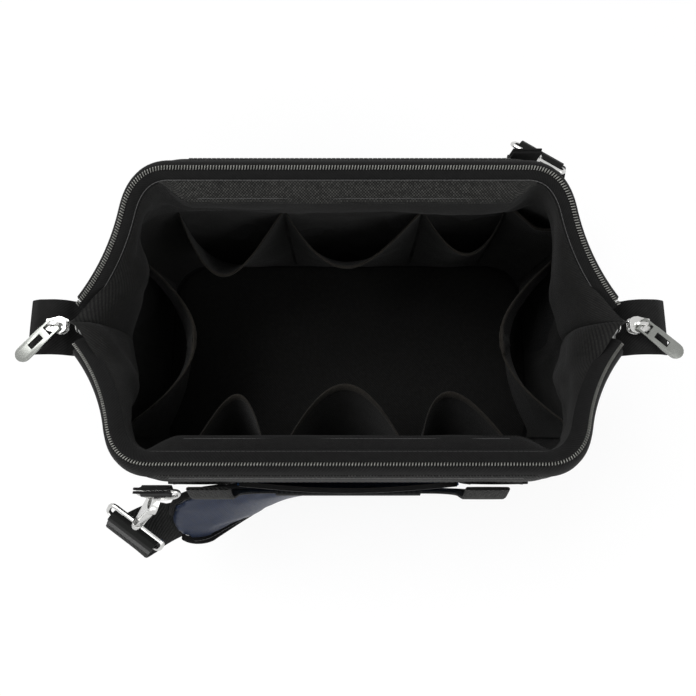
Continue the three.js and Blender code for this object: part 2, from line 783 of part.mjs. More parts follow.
function zipTab() {
  const across = TAB_PATH.map(() => vec(0, 1, 0));
  const line = TAB_PATH.map((q) => vec(q.x, 0, q.y));
  const flap = solid(ribbon(line, across, 2 * TAB_HALF_WIDTH, TAB_THICKNESS));
  const chainLine = [
    at(sliderX + CHAIN_START, chainZ),
    at(chainTurn, chainZ),
    at(chainTurn + 3, tabTop + CHAIN_HEIGHT / 2 - 0.8),
    at(chainTurn + 6, tabTop + CHAIN_HEIGHT / 2 - 2),
  ].map((q) => vec(q.x, 0, q.y));
  const chain = solid(ribbon(chainLine, chainLine.map(() => vec(0, 1, 0)), CHAIN_WIDTH, CHAIN_HEIGHT));
  return fromSolid(flap.add(chain));
}
const sliderFoot = tabTop + 0.5;
const chainZ = sliderFoot + SLIDER_PLATE + GAP + CHAIN_HEIGHT / 2;
const chainTurn = sliderX + SLIDER_LENGTH / 2 + 1;
const sliderTop = sliderFoot + 2 * SLIDER_PLATE + CHAIN_HEIGHT + 2 * GAP;

// The slider's nose points to -X, towards the mouth. It has two plates, a wedge between them, side
// flanges and a bridge.
function slider() {
  const half = SLIDER_LENGTH / 2;
  const shield = new THREE.Shape();
  shield.moveTo(half, -SLIDER_WIDTH * 0.34);
  shield.lineTo(half, SLIDER_WIDTH * 0.34);
  shield.quadraticCurveTo(1, SLIDER_WIDTH * 0.42, -1, SLIDER_WIDTH / 2);
  shield.quadraticCurveTo(-half + 1, SLIDER_WIDTH / 2, -half, SLIDER_WIDTH * 0.26);
  shield.lineTo(-half, -SLIDER_WIDTH * 0.26);
  shield.quadraticCurveTo(-half + 1, -SLIDER_WIDTH / 2, -1, -SLIDER_WIDTH / 2);
  shield.quadraticCurveTo(1, -SLIDER_WIDTH * 0.42, half, -SLIDER_WIDTH * 0.34);
  const channel = CHAIN_HEIGHT + 2 * GAP;
  const bottom = plate(shield, SLIDER_PLATE, 3);
  const top = plate(shield, SLIDER_PLATE, 3).translate(0, 0, SLIDER_PLATE + channel);
  const wedgeOutline = [at(-half + 0.6, 0), at(-half + 3, -1.7), at(0.6, 0), at(-half + 3, 1.7)];
  const wedge = plate(new THREE.Shape(wedgeOutline), channel + 1)
    .translate(0, 0, SLIDER_PLATE - 0.5);
  const span = BRIDGE_SPAN / 2;
  const leg = 1.2;
  const arch = new THREE.Shape();
  arch.moveTo(-span - leg, 0);
  arch.lineTo(-span - leg, BRIDGE_RISE);
  arch.quadraticCurveTo(-span, BRIDGE_RISE + leg, 0, BRIDGE_RISE + leg);
  arch.quadraticCurveTo(span, BRIDGE_RISE + leg, span + leg, BRIDGE_RISE);
  arch.lineTo(span + leg, 0);
  arch.lineTo(span, 0);
  arch.lineTo(span, BRIDGE_RISE - 0.8);
  arch.quadraticCurveTo(0, BRIDGE_RISE + 0.4, -span, BRIDGE_RISE - 0.8);
  arch.lineTo(-span, 0);
  const bridge = plate(arch, BRIDGE_WIDTH, 3)
    .translate(0, 0, -BRIDGE_WIDTH / 2)
    .rotateX(Math.PI / 2)
    .translate(0, 0, 2 * SLIDER_PLATE + channel - 0.2);
  return fromSolid(solid(bottom).add(solid(top)).add(solid(wedge)).add(solid(bridge)));
}

// The pull lies along +X from its cross bar at the origin.
function pull() {
  const ring = PULL_RING / 2;
  const outer = ring + PULL_WIRE;
  const shape = new THREE.Shape();
  const neck = PULL_ARM;
  const end = PULL_ARM + PULL_LENGTH;
  shape.moveTo(-PULL_WIRE / 2, -outer + 1);
  shape.quadraticCurveTo(-PULL_WIRE / 2, -outer, 1, -outer);
  shape.lineTo(neck - 1, -outer);
  shape.lineTo(neck + 1, -PULL_WIDTH / 2);
  shape.lineTo(end - PULL_WIDTH / 2, -PULL_WIDTH / 2);
  shape.absarc(end - PULL_WIDTH / 2, 0, PULL_WIDTH / 2, -Math.PI / 2, Math.PI / 2);
  shape.lineTo(neck + 1, PULL_WIDTH / 2);
  shape.lineTo(neck - 1, outer);
  shape.lineTo(1, outer);
  shape.quadraticCurveTo(-PULL_WIRE / 2, outer, -PULL_WIRE / 2, outer - 1);
  const bar = PULL_WIRE / 2;
  const throat = neck - 1.5;
  shape.holes.push(new THREE.Path([at(bar, -ring), at(bar, ring), at(throat, ring), at(throat, -ring)]));
  const slot = PULL_SLOT_WIDTH / 2;
  shape.holes.push(new THREE.Path([
    at(neck + 3, -slot),
    at(neck + 3, slot),
    at(neck + 3 + PULL_SLOT_LENGTH, slot),
    at(neck + 3 + PULL_SLOT_LENGTH, -slot),
  ]));
  return plate(shape, PULL_THICKNESS, 4).translate(0, 0, -PULL_THICKNESS / 2);
}

for (const [name, way, swing] of [['right', 0, RIGHT_PULL_SWING], ['left', Math.PI, LEFT_PULL_SWING]]) {
  const facing = new THREE.Group();
  facing.rotation.z = way;
  bag.add(facing);
  add(`${name}_zip_tab`, zipTab(), cloth(), facing);
  add(`${name}_slider`, slider(), metal(), facing).position.set(sliderX, 0, sliderFoot);
  const hang = new THREE.Group();
  hang.position.set(sliderX, 0, sliderTop + PULL_LIFT);
  hang.rotation.z = swing;
  facing.add(hang);
  add(`${name}_pull`, pull(), metal(), hang).rotation.y = PULL_DROOP;
}

// Strap hardware, at the front left and, turned half round, at the back right
function along(points, steps, closed = false) {
  return new THREE.CatmullRomCurve3(points, closed, 'centripetal').getPoints(steps);
}

function basis(group, origin, x, z) {
  const y = z.clone().cross(x).normalize();
  const right = y.clone().cross(z);
  group.matrixAutoUpdate = false;
  group.matrix.makeBasis(right, y, z.clone().normalize()).setPosition(origin);
}

function dRing() {
  const w = RING_WIDTH / 2;
  const points = [vec(w - 2, 0, 0), vec(0, 0, 0), vec(-w + 2, 0, 0)];
  for (let i = 0; i <= 8; i++) {
    const a = (Math.PI * i) / 8;
    points.push(vec(-w * Math.cos(a), 0, -2 - (RING_DEPTH - 2) * Math.sin(a)));
  }
  return bar(points, RING_WIRE, 8, vec(0, 1, 0), true);
}

// Eye centre at the origin, shank down -Z, mouth of the hook on +Y.
function hook() {
  const outer = HOOK_INNER + HOOK_WALL;
  const eye = new THREE.Shape();
  eye.absarc(0, 0, outer, 0, 2 * Math.PI);
  const bore = new THREE.Path();
  bore.absarc(0, 0, HOOK_INNER, 0, 2 * Math.PI, true);
  eye.holes.push(bore);
  const shank = new THREE.Shape([
    at(-outer * 0.72, -HOOK_INNER - 1),
    at(-3.4, -HOOK_SHANK),
    at(3.4, -HOOK_SHANK),
    at(outer * 0.72, -HOOK_INNER - 1),
    at(0, -HOOK_INNER - 0.6),
  ]);
  const upright = (geometry) => {
    geometry.translate(0, 0, -HOOK_THICKNESS / 2).rotateX(Math.PI / 2).rotateZ(Math.PI / 2);
    return solid(geometry);
  };
  const jaw = new THREE.Shape([
    at(0, 0),
    at(2 * outer * Math.cos(JAW_LOW), 2 * outer * Math.sin(JAW_LOW)),
    at(2 * outer, JAW_TOP),
    at(0, JAW_TOP),
  ]);
  const cut = upright(plate(jaw, HOOK_THICKNESS * 2).translate(0, 0, -HOOK_THICKNESS / 2));
  const pin = new THREE.CylinderGeometry(PIN_RADIUS, PIN_RADIUS, PIN_LENGTH + 2, 14)
    .rotateX(Math.PI / 2)
    .translate(0, 0, -HOOK_SHANK - PIN_LENGTH / 2 + 1);
  const head = new THREE.CylinderGeometry(PIN_RADIUS + 1.2, PIN_RADIUS + 1.2, 1.4, 14)
    .rotateX(Math.PI / 2)
    .translate(0, 0, -HOOK_SHANK - PIN_LENGTH);
  const body = upright(plate(eye, HOOK_THICKNESS, 12)).subtract(cut);
  return fromSolid(body.add(upright(plate(shank, HOOK_THICKNESS))).add(solid(pin)).add(solid(head)));
}

function gate() {
  const inner = HOOK_INNER + 0.5;
  const outer = HOOK_INNER + HOOK_WALL - 0.3;
  const low = JAW_LOW + GATE_CLEARANCE / inner;
  const highAt = (radius) => Math.asin((JAW_TOP - GATE_CLEARANCE) / radius);
  const shape = new THREE.Shape();
  shape.absarc(0, 0, outer, low, highAt(outer));
  shape.absarc(0, 0, inner, highAt(inner), low, true);
  return plate(shape, HOOK_THICKNESS - 1, 5)
    .translate(0, 0, -(HOOK_THICKNESS - 1) / 2)
    .rotateX(Math.PI / 2)
    .rotateZ(Math.PI / 2);
}

// A rectangular wire loop hanging from a collar at the origin, which the hook's pin turns in.
function strapLoop() {
  const w = LOOP_INNER / 2 + LOOP_WIRE;
  const top = -LOOP_WIRE;
  const low = top - LOOP_DEPTH - 2 * LOOP_WIRE;
  const r = 4;
  const points = [vec(-w + r, 0, top), vec(0, 0, top), vec(w - r, 0, top)];
  const turn = (x, z, from) => {
    for (let i = 1; i < 3; i++) {
      const a = from - ((Math.PI / 2) * i) / 3;
      points.push(vec(x + r * Math.cos(a), 0, z + r * Math.sin(a)));
    }
  };
  turn(w - r, top - r, Math.PI / 2);
  points.push(vec(w, 0, top - r), vec(w, 0, low + r));
  turn(w - r, low + r, 0);
  points.push(vec(w - r, 0, low), vec(-w + r, 0, low));
  turn(-w + r, low + r, -Math.PI / 2);
  points.push(vec(-w, 0, low + r), vec(-w, 0, top - r));
  turn(-w + r, top - r, -Math.PI);
  const ring = solid(bar(points, LOOP_WIRE, 8, vec(0, 1, 0), true));
  const collar = new THREE.CylinderGeometry(COLLAR_RADIUS, COLLAR_RADIUS, COLLAR_HEIGHT, 16)
    .rotateX(Math.PI / 2)
    .translate(0, 0, top);
  const hole = new THREE.CylinderGeometry(PIN_RADIUS + GAP, PIN_RADIUS + GAP, 3 * COLLAR_HEIGHT, 14)
    .rotateX(Math.PI / 2);
  return fromSolid(ring.add(solid(collar)).subtract(solid(hole)));
}

const ringRound = -(CORNER_FROM + RING_ROUND);
const ringFace = wallAt(ringRound, RING_HEIGHT);
const ringOut = wallNormal(ringRound, RING_HEIGHT);
const tabFold = RING_WIRE + 0.5 + 1.6;
const ringCentre = ringFace.clone().addScaledVector(ringOut, tabFold + GAP);
const ringAcross = vec(0, 0, 1).cross(ringOut).normalize();
const wallUp = ringOut.clone().cross(ringAcross).normalize();
const ringDown = wallUp.clone().negate().applyAxisAngle(ringAcross, RING_TILT);
const strapDown = vec(-0.5, -0.48, -0.72).normalize();
const loopLean = vec(0.86, -0.5, 0);
const loopAcross = loopLean.clone().addScaledVector(strapDown, -loopLean.dot(strapDown)).normalize();
// The hook hangs where the ring's wire lies square to its pull.
const ringHalf = RING_WIDTH / 2;
const ringDrop = RING_DEPTH - 2;
const heldAngle = Math.atan2(ringDrop * strapDown.dot(ringDown), -ringHalf * strapDown.dot(ringAcross));
const held = ringCentre.clone()
  .addScaledVector(ringAcross, -ringHalf * Math.cos(heldAngle))
  .addScaledVector(ringDown, 2 + ringDrop * Math.sin(heldAngle));
const heldWire = ringAcross.clone()
  .multiplyScalar(ringHalf * Math.sin(heldAngle))
  .addScaledVector(ringDown, ringDrop * Math.cos(heldAngle))
  .normalize();
const hookEye = held.clone().addScaledVector(strapDown, HOOK_INNER - RING_WIRE - HOOK_PLAY);
const loopHang = HOOK_SHANK + GAP + COLLAR_HEIGHT / 2 - LOOP_WIRE;
const loopTop = hookEye.clone().addScaledVector(strapDown, loopHang);
const foldWay = vec(-0.3, -0.5, -0.82);
const foldDown = foldWay.clone().addScaledVector(loopAcross, -foldWay.dot(loopAcross)).normalize();
const loopBar = loopTop.clone().addScaledVector(strapDown, LOOP_DEPTH + 3 * LOOP_WIRE);
const foldEnd = loopBar.clone().addScaledVector(foldDown, FOLD_LENGTH);

for (const [name, way] of [['front', 0], ['back', Math.PI]]) {
  const facing = new THREE.Group();
  facing.rotation.z = way;
  bag.add(facing);

  const tab = new THREE.Group();
  basis(tab, ringCentre, ringAcross, wallUp);
  facing.add(tab);
  const tabShape = new THREE.Shape(foldSection(RING_WIRE + 0.5, 1.6, 0.5, RING_TAB, 5));
  const tabGeometry = plate(tabShape, RING_WIDTH - 7, 1)
    .translate(tabFold, 0, -(RING_WIDTH - 7) / 2)
    .rotateY(Math.PI / 2);
  add(`${name}_ring_tab`, tabGeometry, webbing(), tab);

  const ring = new THREE.Group();
  basis(ring, ringCentre, ringAcross, ringDown.clone().negate());
  facing.add(ring);
  add(`${name}_d_ring`, dRing(), metal(), ring);

  const snap = new THREE.Group();
  basis(snap, hookEye, heldWire, strapDown.clone().negate());
  facing.add(snap);
  add(`${name}_hook`, hook(), metal(), snap);
  add(`${name}_gate`, gate(), metal(), snap);

  const loop = new THREE.Group();
  basis(loop, loopTop, loopAcross, strapDown.clone().negate());
  facing.add(loop);
  add(`${name}_strap_loop`, strapLoop(), metal(), loop);
  const foldBore = LOOP_WIRE + 0.5;
  const sewn = new THREE.Group();
  basis(sewn, loopBar, loopAcross, foldDown.clone().negate());
  facing.add(sewn);
  const foldOutline = foldSection(foldBore, WEBBING_THICKNESS, 0.5, FOLD_LENGTH + 2 * foldBore, 6);
  const fold = plate(new THREE.Shape(foldOutline), WEBBING, 1)
    .translate(foldBore + WEBBING_THICKNESS, 0, -WEBBING / 2)
    .rotateY(-Math.PI / 2);
  add(`${name}_strap_end`, fold, webbing(), sewn);
}

// Shoulder strap: one length of webbing from the front left clip, behind the pad, along the front and the
// right end on its edge, and up to the back right clip.
const FLOOR_LINE = WEBBING / 2 + 0.6;
const END_RUN = 198;
const strapEnd = foldEnd.clone().addScaledVector(foldDown, 3 * GAP);
const farEnd = vec(-strapEnd.x, -strapEnd.y, strapEnd.z);
const farDown = vec(-foldDown.x, -foldDown.y, foldDown.z);
const farAcross = vec(-loopAcross.x, -loopAcross.y, loopAcross.z);
const onEdge = vec(0, 0, -1);
const leaning = vec(0, -0.66, -0.75);
const STRAP_ROUTE = [
  [strapEnd, loopAcross],
  [strapEnd.clone().addScaledVector(foldDown, 10), loopAcross],
  [vec(-157, -148, 96), vec(0.5, -0.75, -0.4)],
  [vec(-146, -145, 85), vec(0.25, -0.74, -0.62)],
  [vec(-118, -134, 80), leaning],
  [vec(-88, -124.5, 68), vec(0, -0.4, -0.92)],
  [vec(-55, -116, 50), vec(0, -0.12, -1)],
  [vec(-20, -112.5, 36), onEdge],
  [vec(20, -111.8, 25), onEdge],
  [vec(70, -111.6, FLOOR_LINE), onEdge],
  [vec(140, -111.6, FLOOR_LINE), onEdge],
  [vec(177, -99.5, FLOOR_LINE), onEdge],
  [vec(END_RUN - 3, -60, FLOOR_LINE), onEdge],
  [vec(END_RUN, 0, FLOOR_LINE + 3), onEdge],
  [vec(END_RUN - 3, 55, FLOOR_LINE + 2), onEdge],
  [vec(194, 98, 36), vec(-0.25, 0.3, -0.92)],
  [vec(180, 132, 66), vec(-0.5, 0.5, -0.7)],
  [farEnd.clone().addScaledVector(farDown, 14), farAcross],
  [farEnd, farAcross],
];
const STRAP_STEPS = 46;
const routeCurve = new THREE.CatmullRomCurve3(STRAP_ROUTE.map(([p]) => p), false, 'centripetal');
function strapAt(t) {
  const place = t * (STRAP_ROUTE.length - 1);
  const i = Math.min(Math.floor(place), STRAP_ROUTE.length - 2);
  const across = STRAP_ROUTE[i][1].clone().lerp(STRAP_ROUTE[i + 1][1], place - i).normalize();
  return { p: routeCurve.getPoint(t), across };
}
const strapStations = Array.from({ length: STRAP_STEPS + 1 }, (_, i) => strapAt(i / STRAP_STEPS));
const strapLine = strapStations.map((q) => q.p);
const strapAcross = strapStations.map((q) => q.across);
const strapGeometry = ribbon(strapLine, strapAcross, WEBBING, WEBBING_THICKNESS);
add('shoulder_strap', strapGeometry, webbing());

function strapPad() {
  const stations = Array.from({ length: PAD_STEPS + 1 }, (_, i) => {
    const t = PAD_FROM + ((PAD_TO - PAD_FROM) * i) / PAD_STEPS;
    const { p, across } = strapAt(t);
    const tangent = routeCurve.getTangent(t);
    const flat = across.clone().addScaledVector(tangent, -across.dot(tangent)).normalize();
    const through = tangent.clone().cross(flat);
    if (through.y > 0) through.negate();
    const share = Math.abs((2 * i) / PAD_STEPS - 1);
    const scale = 0.62 + 0.38 * Math.sqrt(Math.max(0, 1 - share ** 4));
    const away = (PAD_THICKNESS + WEBBING_THICKNESS) / 2 + 3 * GAP;
    return { p: p.clone().addScaledVector(through, away), across: flat, through, scale };
  });
  const w = PAD_WIDTH / 2;
  const h = PAD_THICKNESS / 2;
  const section = [
    at(-w, 0), at(-w + 4, -h * 0.75), at(-w / 2, -h), at(w / 2, -h), at(w - 4, -h * 0.75),
    at(w, 0), at(w - 4, h * 0.75), at(w / 2, h), at(-w / 2, h), at(-w + 4, h * 0.75),
  ];
  return sweep(stations, section);
}
add('strap_pad', strapPad(), blue());

// A flat loop that keeps the doubled strap's length, on the strap beside the right end.
const keeper = new THREE.Shape(rectangle(WEBBING + 6, WEBBING_THICKNESS + 6));
keeper.holes.push(new THREE.Path(rectangle(WEBBING + 2 * GAP, WEBBING_THICKNESS + 2 * GAP).reverse()));
const adjuster = new THREE.ExtrudeGeometry(keeper, { depth: 5, bevelEnabled: false })
  .rotateX(Math.PI / 2)
  .rotateY(Math.PI / 2);
add('strap_adjuster', adjuster, metal()).position.set(END_RUN, 2.5, FLOOR_LINE + 3);

export default bag;
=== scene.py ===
"""The looks of the zippered tool bag: woven cloth, webbing, zip, steel fittings, padded shoulder strap.

The bag stands open. Lengths are written in millimetres and turned to metres where a mesh is made.
+X runs along the mouth to the right, -Y is the front, +Z is up.
"""

import json
import math

import bpy
import numpy as np
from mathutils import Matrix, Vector, noise

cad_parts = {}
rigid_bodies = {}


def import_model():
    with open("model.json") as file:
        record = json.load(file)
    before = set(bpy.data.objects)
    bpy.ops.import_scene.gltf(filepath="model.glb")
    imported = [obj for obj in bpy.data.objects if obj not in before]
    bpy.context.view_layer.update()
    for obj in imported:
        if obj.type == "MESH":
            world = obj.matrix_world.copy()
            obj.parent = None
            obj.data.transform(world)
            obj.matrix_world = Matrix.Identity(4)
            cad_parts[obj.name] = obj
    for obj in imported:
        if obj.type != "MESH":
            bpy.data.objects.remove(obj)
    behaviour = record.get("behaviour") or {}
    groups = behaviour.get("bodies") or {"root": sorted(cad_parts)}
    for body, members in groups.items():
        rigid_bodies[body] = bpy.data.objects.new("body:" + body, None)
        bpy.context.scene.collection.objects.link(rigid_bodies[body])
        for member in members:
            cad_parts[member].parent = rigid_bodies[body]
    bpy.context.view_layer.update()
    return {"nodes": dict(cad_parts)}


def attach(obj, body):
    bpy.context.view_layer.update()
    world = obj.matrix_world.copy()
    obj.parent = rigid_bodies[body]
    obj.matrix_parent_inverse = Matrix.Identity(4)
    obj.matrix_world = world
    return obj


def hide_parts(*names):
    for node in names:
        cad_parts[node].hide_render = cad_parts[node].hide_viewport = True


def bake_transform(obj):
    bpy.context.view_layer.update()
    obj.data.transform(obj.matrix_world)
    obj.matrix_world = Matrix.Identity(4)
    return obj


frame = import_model()
nodes = frame["nodes"]

MM = 0.001

# Half a turn about the bag's middle, which takes a front piece to its place at the back
HALF_TURN = np.array([-1, -1, 1])

# Sizes of the bag, the same as the solids'
OPEN_ANGLE = math.radians(61)
PIVOT_HEIGHT = 172
WALL = 5
WALL_TOP = 0.87
WALL_RINGS = (((360, 205, 38), 3.4), ((380, 218, 46), 70), ((402, 225, 54), 150))
RIM_STRAIGHT = 116
RIM_REACH = 108
CORNER = np.array([150.0, 80.0])
CORNER_CONTROL = np.array([CORNER[0] - (RIM_REACH - 80.0) * 14.0 / 38.0, RIM_REACH])
WAIST = np.array([164.0, 42.0])
ARM_END = np.array([196.0, 10.0])
CORNER_FROM = 0.5
CORNER_TO = 0.68
BAND_OUTSET = 2.8
BAND_DROP = 17.6
ZIP_END = 0.968
BAND_END = 0.915
TAPE_END = 0.955
SEAM = 0.6
ROUND_PER_X = CORNER_FROM / RIM_STRAIGHT

# How far the limp cloth is drawn in below the rim: more at the corners, less again at the ends
TUCK = 2.5
CORNER_TUCK = 5.0
END_UNTUCK = 3.5


# The mouth line and the walls, as points in millimetres

def bezier(a, b, c, t):
    t = t[..., None]
    point = (1 - t) ** 2 * a + 2 * t * (1 - t) * b + t ** 2 * c
    slope = 2 * (1 - t) * (b - a) + 2 * t * (c - b)
    return point, slope / np.linalg.norm(slope, axis=-1, keepdims=True)


def mouth_at(share):
    """A quarter of the mouth line from its middle (0) to its end (1): place and outward normal."""
    share = np.asarray(share, float)
    straight = np.stack([RIM_STRAIGHT * share / CORNER_FROM, np.full_like(share, RIM_REACH)], -1)
    bend, bend_way = bezier(np.array([RIM_STRAIGHT, RIM_REACH]), CORNER_CONTROL, CORNER,
                            np.clip((share - CORNER_FROM) / (CORNER_TO - CORNER_FROM), 0, 1))
    arm, arm_way = bezier(CORNER, WAIST, ARM_END, np.clip((share - CORNER_TO) / (1 - CORNER_TO), 0, 1))
    on_straight = (share <= CORNER_FROM)[..., None]
    on_bend = (share <= CORNER_TO)[..., None]
    point = np.where(on_straight, straight, np.where(on_bend, bend, arm))
    way = np.where(on_straight, np.array([1.0, 0.0]), np.where(on_bend, bend_way, arm_way))
    return point, np.stack([-way[..., 1], way[..., 0]], -1)


def opened(x, through, reach):
    """A frame half's own coordinates, turned out to where they are with the bag open."""
    c, s = math.cos(OPEN_ANGLE), math.sin(OPEN_ANGLE)
    return np.stack([x, through * c - reach * s, through * s + reach * c + PIVOT_HEIGHT], -1)


def rounded_at(share, length, depth, radius):
    straight, side = length / 2 - radius, depth / 2 - radius
    turn = np.clip((share - CORNER_FROM) / (CORNER_TO - CORNER_FROM), 0, 1) * math.pi / 2
    x = np.where(share <= CORNER_FROM, straight * share / CORNER_FROM, straight + radius * np.sin(turn))
    y = np.where(share <= CORNER_TO, side + radius * np.cos(turn), side * (1 - share) / (1 - CORNER_TO))
    return x, y


def ease(x):
    x = np.clip(x, 0, 1)
    return x * x * (3 - 2 * x)


def share_of(turn):
    """Turn goes once round the bag in 4. Share is 0 at the middle of a long side, 1 at that of an end."""
    turn = np.asarray(turn, float) % 4
    part = turn - np.floor(turn)
    return np.where(np.floor(turn) % 2 == 0, part, 1 - part)


def sides_of(turn):
    """The signs of x and y at a turn from 0 to 4."""
    quarter = np.floor(turn)
    return np.where(quarter < 2, 1, -1), np.where((quarter == 0) | (quarter == 3), -1, 1)


def wall_at(turn, height):
    """The walls' outer face. Turn is 0 at the front middle, 1 right end, 2 back, 3 left end.

    The upright curve is drawn by three rings, each (length, depth, corner radius) and height, and by the rim.
    """
    turn, height = np.broadcast_arrays(np.asarray(turn, float) % 4, np.asarray(height, float))
    share = share_of(turn)
    side_x, side_y = sides_of(turn)
    point, out = mouth_at(share)
    edge = point + out * BAND_OUTSET
    rim = opened(edge[..., 0], -BAND_DROP, edge[..., 1])
    rim_depth = -rim[..., 1] * np.minimum(1, (1 - share) / 0.07)
    rings = [(*rounded_at(share, *outline), level) for outline, level in WALL_RINGS]
    rings.append((rim[..., 0], rim_depth, rim[..., 2]))
    g = 1 - height
    weights = (g ** 3, 3 * g * g * height, 3 * g * height ** 2, height ** 3)
    x, y, z = (sum(weight * ring[k] for weight, ring in zip(weights, rings)) for k in range(3))
    return np.stack([side_x * x, side_y * y, z], -1)


def wall_out(turn, height):
    e = 0.004
    height = np.minimum(height, 1 - e)
    along = wall_at(turn + e, height) - wall_at(turn - e, height)
    up = wall_at(turn, height + e) - wall_at(turn, height)
    normal = np.cross(along, up)
    return normal / np.linalg.norm(normal, axis=-1, keepdims=True)


def tuck(turn, height):
    """How far the cloth is drawn in at a place on the walls."""
    share = share_of(turn)
    amount = TUCK + CORNER_TUCK * ease((share - 0.46) / 0.12) - END_UNTUCK * ease((share - 0.88) / 0.1)
    return amount * ease((np.asarray(height) - 0.4) / 0.47)


def on_wall(turn, height, lift):
    """A point on the cloth walls, lifted outwards from them."""
    turn, height = np.broadcast_arrays(np.asarray(turn, float), np.asarray(height, float))
    away = np.asarray(lift) - tuck(turn, height)
    return wall_at(turn, height) + wall_out(turn, height) * away[..., None]


def rim_at(share, across, through, back=False):
    """A point beside the mouth line: across is outwards in the half's own plane, through square to it."""
    point, out = mouth_at(np.abs(share))
    way = np.where(np.asarray(share) < 0, -1.0, 1.0)
    p = opened(way * (point[..., 0] + out[..., 0] * across), through, point[..., 1] + out[..., 1] * across)
    return p * HALF_TURN if back else p


def crumple(points, size, seed):
    """Smooth random heights between about -1 and 1, the same in every run."""
    flat = points.reshape(-1, 3) / size
    shift = np.array([seed * 17.3, seed * 5.1, seed * 11.7])
    return np.array([noise.noise(Vector(p + shift)) for p in flat]).reshape(points.shape[:-1])


# Making meshes

def only(piece):
    for other in bpy.context.selected_objects:
        other.select_set(False)
    piece.select_set(True)
    bpy.context.view_layer.objects.active = piece


def lengths_along(points, axis):
    step = np.linalg.norm(np.diff(points, axis=axis), axis=-1)
    total = np.cumsum(step, axis=axis)
    return np.concatenate([np.zeros_like(np.take(total, [0], axis=axis)), total], axis=axis)


def between(marks, run, points):
    """Reads a line of points off at marks. Run holds the mark of each point."""
    return np.stack([np.interp(marks, run, points[:, k]) for k in range(3)], -1)


def points_of(mesh):
    return np.array([vertex.co for vertex in mesh.vertices])


def add_object(name, data):
    piece = bpy.data.objects.new(name, data)
    bpy.context.scene.collection.objects.link(piece)
    return piece


def skin(name, points, closed=False, caps=False):
    """Cloth from a grid of points (station, across). The UV map holds the distances along it in metres."""
    rows, columns = points.shape[:2]
    wrapped = np.concatenate([points, points[:, :1]], axis=1) if closed else points
    u = lengths_along(wrapped, 0)
    v = lengths_along(wrapped, 1)
    u[:] = u.mean(axis=1, keepdims=True)
    v[:] = v.mean(axis=0, keepdims=True)
    faces, corners = [], []
    for r in range(rows - 1):
        for c in range(wrapped.shape[1] - 1):
            n = (c + 1) % columns
            faces.append((r * columns + c, (r + 1) * columns + c, (r + 1) * columns + n, r * columns + n))
            corners += [(r, c), (r + 1, c), (r + 1, c + 1), (r, c + 1)]
    if caps:
        there, back = range(columns), range(columns)[::-1]
        faces += [tuple(there), tuple((rows - 1) * columns + c for c in back)]
        corners += [(0, c) for c in there] + [(rows - 1, c) for c in back]
    mesh = bpy.data.meshes.new(name)
    mesh.from_pydata((points.reshape(-1, 3) * MM).tolist(), [], faces)
    uv = mesh.uv_layers.new(name="UVMap")
    flat = np.array([(u[r, c] * MM, v[r, c] * MM) for r, c in corners], np.float32)
    uv.data.foreach_set("uv", flat.ravel())
    return add_object(name, mesh)


def apply(piece, kind, **settings):
    only(piece)
    modifier = piece.modifiers.new(kind.title(), kind)
    for key, value in settings.items():
        setattr(modifier, key, value)
    bpy.ops.object.modifier_apply(modifier=modifier.name)
    return piece


def set_mode(mode):
    bpy.ops.object.mode_set(mode=mode)


def outwards(piece):
    only(piece)
    set_mode("EDIT")
    bpy.ops.mesh.select_all(action="SELECT")
    bpy.ops.mesh.remove_doubles(threshold=0.000002)
    bpy.ops.mesh.normals_make_consistent(inside=False)
    set_mode("OBJECT")
    return piece


def smooth(piece, angle=50):
    only(piece)
    bpy.ops.object.shade_smooth_by_angle(angle=math.radians(angle))
    return piece


FOLD_WAY = Vector((0, -1.2, 1)).normalized() * 0.069


def dress(piece, material, body, slot, *replaced):
    """Sets a finished piece's material, what moves it (front and back pieces stay fixed), and the solids it
    stands for; slot is not used.
    """
    piece.data.materials.clear()
    piece.data.materials.append(material)
    if body in ("front", "back"):
        way = FOLD_WAY.copy()
        if body == "back":
            way.y = -way.y
        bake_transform(piece)
    else:
        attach(piece, body)
    if replaced:
        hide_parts(*replaced)
    return piece


def cloth(name, rows, thickness, edge=0.0, offset=-1.0):
    """A sheet of cloth from rows of points, its edges rounded where edge is above zero."""
    piece = skin(name, np.array(rows).transpose(1, 0, 2))
    apply(piece, "SOLIDIFY", thickness=thickness * MM, offset=offset, use_even_offset=False)
    if edge:
        apply(piece, "BEVEL", width=edge * MM, segments=2, limit_method="ANGLE", angle_limit=math.radians(50))
    return smooth(piece)


def tube(name, rows):
    """A strip that is closed all round, from the rows of points that run along it."""
    return smooth(outwards(skin(name, np.array(rows).transpose(1, 0, 2), closed=True, caps=True)))


CORNER_STEPS = 3


def rounded_section(width, thickness, crown):
    """The outline of flat webbing: (across, through) points with round edges."""
    w, h = width / 2, thickness / 2
    points = []
    for side in (1, -1):
        for i in range(CORNER_STEPS + 1):
            a = -math.pi / 2 + math.pi * i / CORNER_STEPS
            points.append((side * (w - h) + side * h * math.cos(a), side * h * math.sin(a)))
        for share in (0.5, 0.0, -0.5):
            points.append((side * share * (w - h), side * (h + crown * (1 - share * share))))
    return np.array(points)


def plump_section(count, half_width, half_height, power):
    turn = 2 * math.pi * np.arange(count) / count
    c, s = np.cos(turn), np.sin(turn)
    return np.stack([half_width * np.sign(c) * np.abs(c) ** 0.6,
                     half_height * np.sign(s) * np.abs(s) ** power], -1)


def sweep(name, places, across, through, section, scale=None):
    """Carries a section along stations, each with its own across and through directions."""
    sizes = np.ones(len(places)) if scale is None else scale
    points = (places[:, None] + across[:, None] * (section[None, :, :1] * sizes[:, None, None])
              + through[:, None] * section[None, :, 1:])
    return smooth(outwards(skin(name, points, closed=True, caps=True)))


def tangents(places):
    way = np.gradient(places, axis=0)
    return way / np.linalg.norm(way, axis=1, keepdims=True)


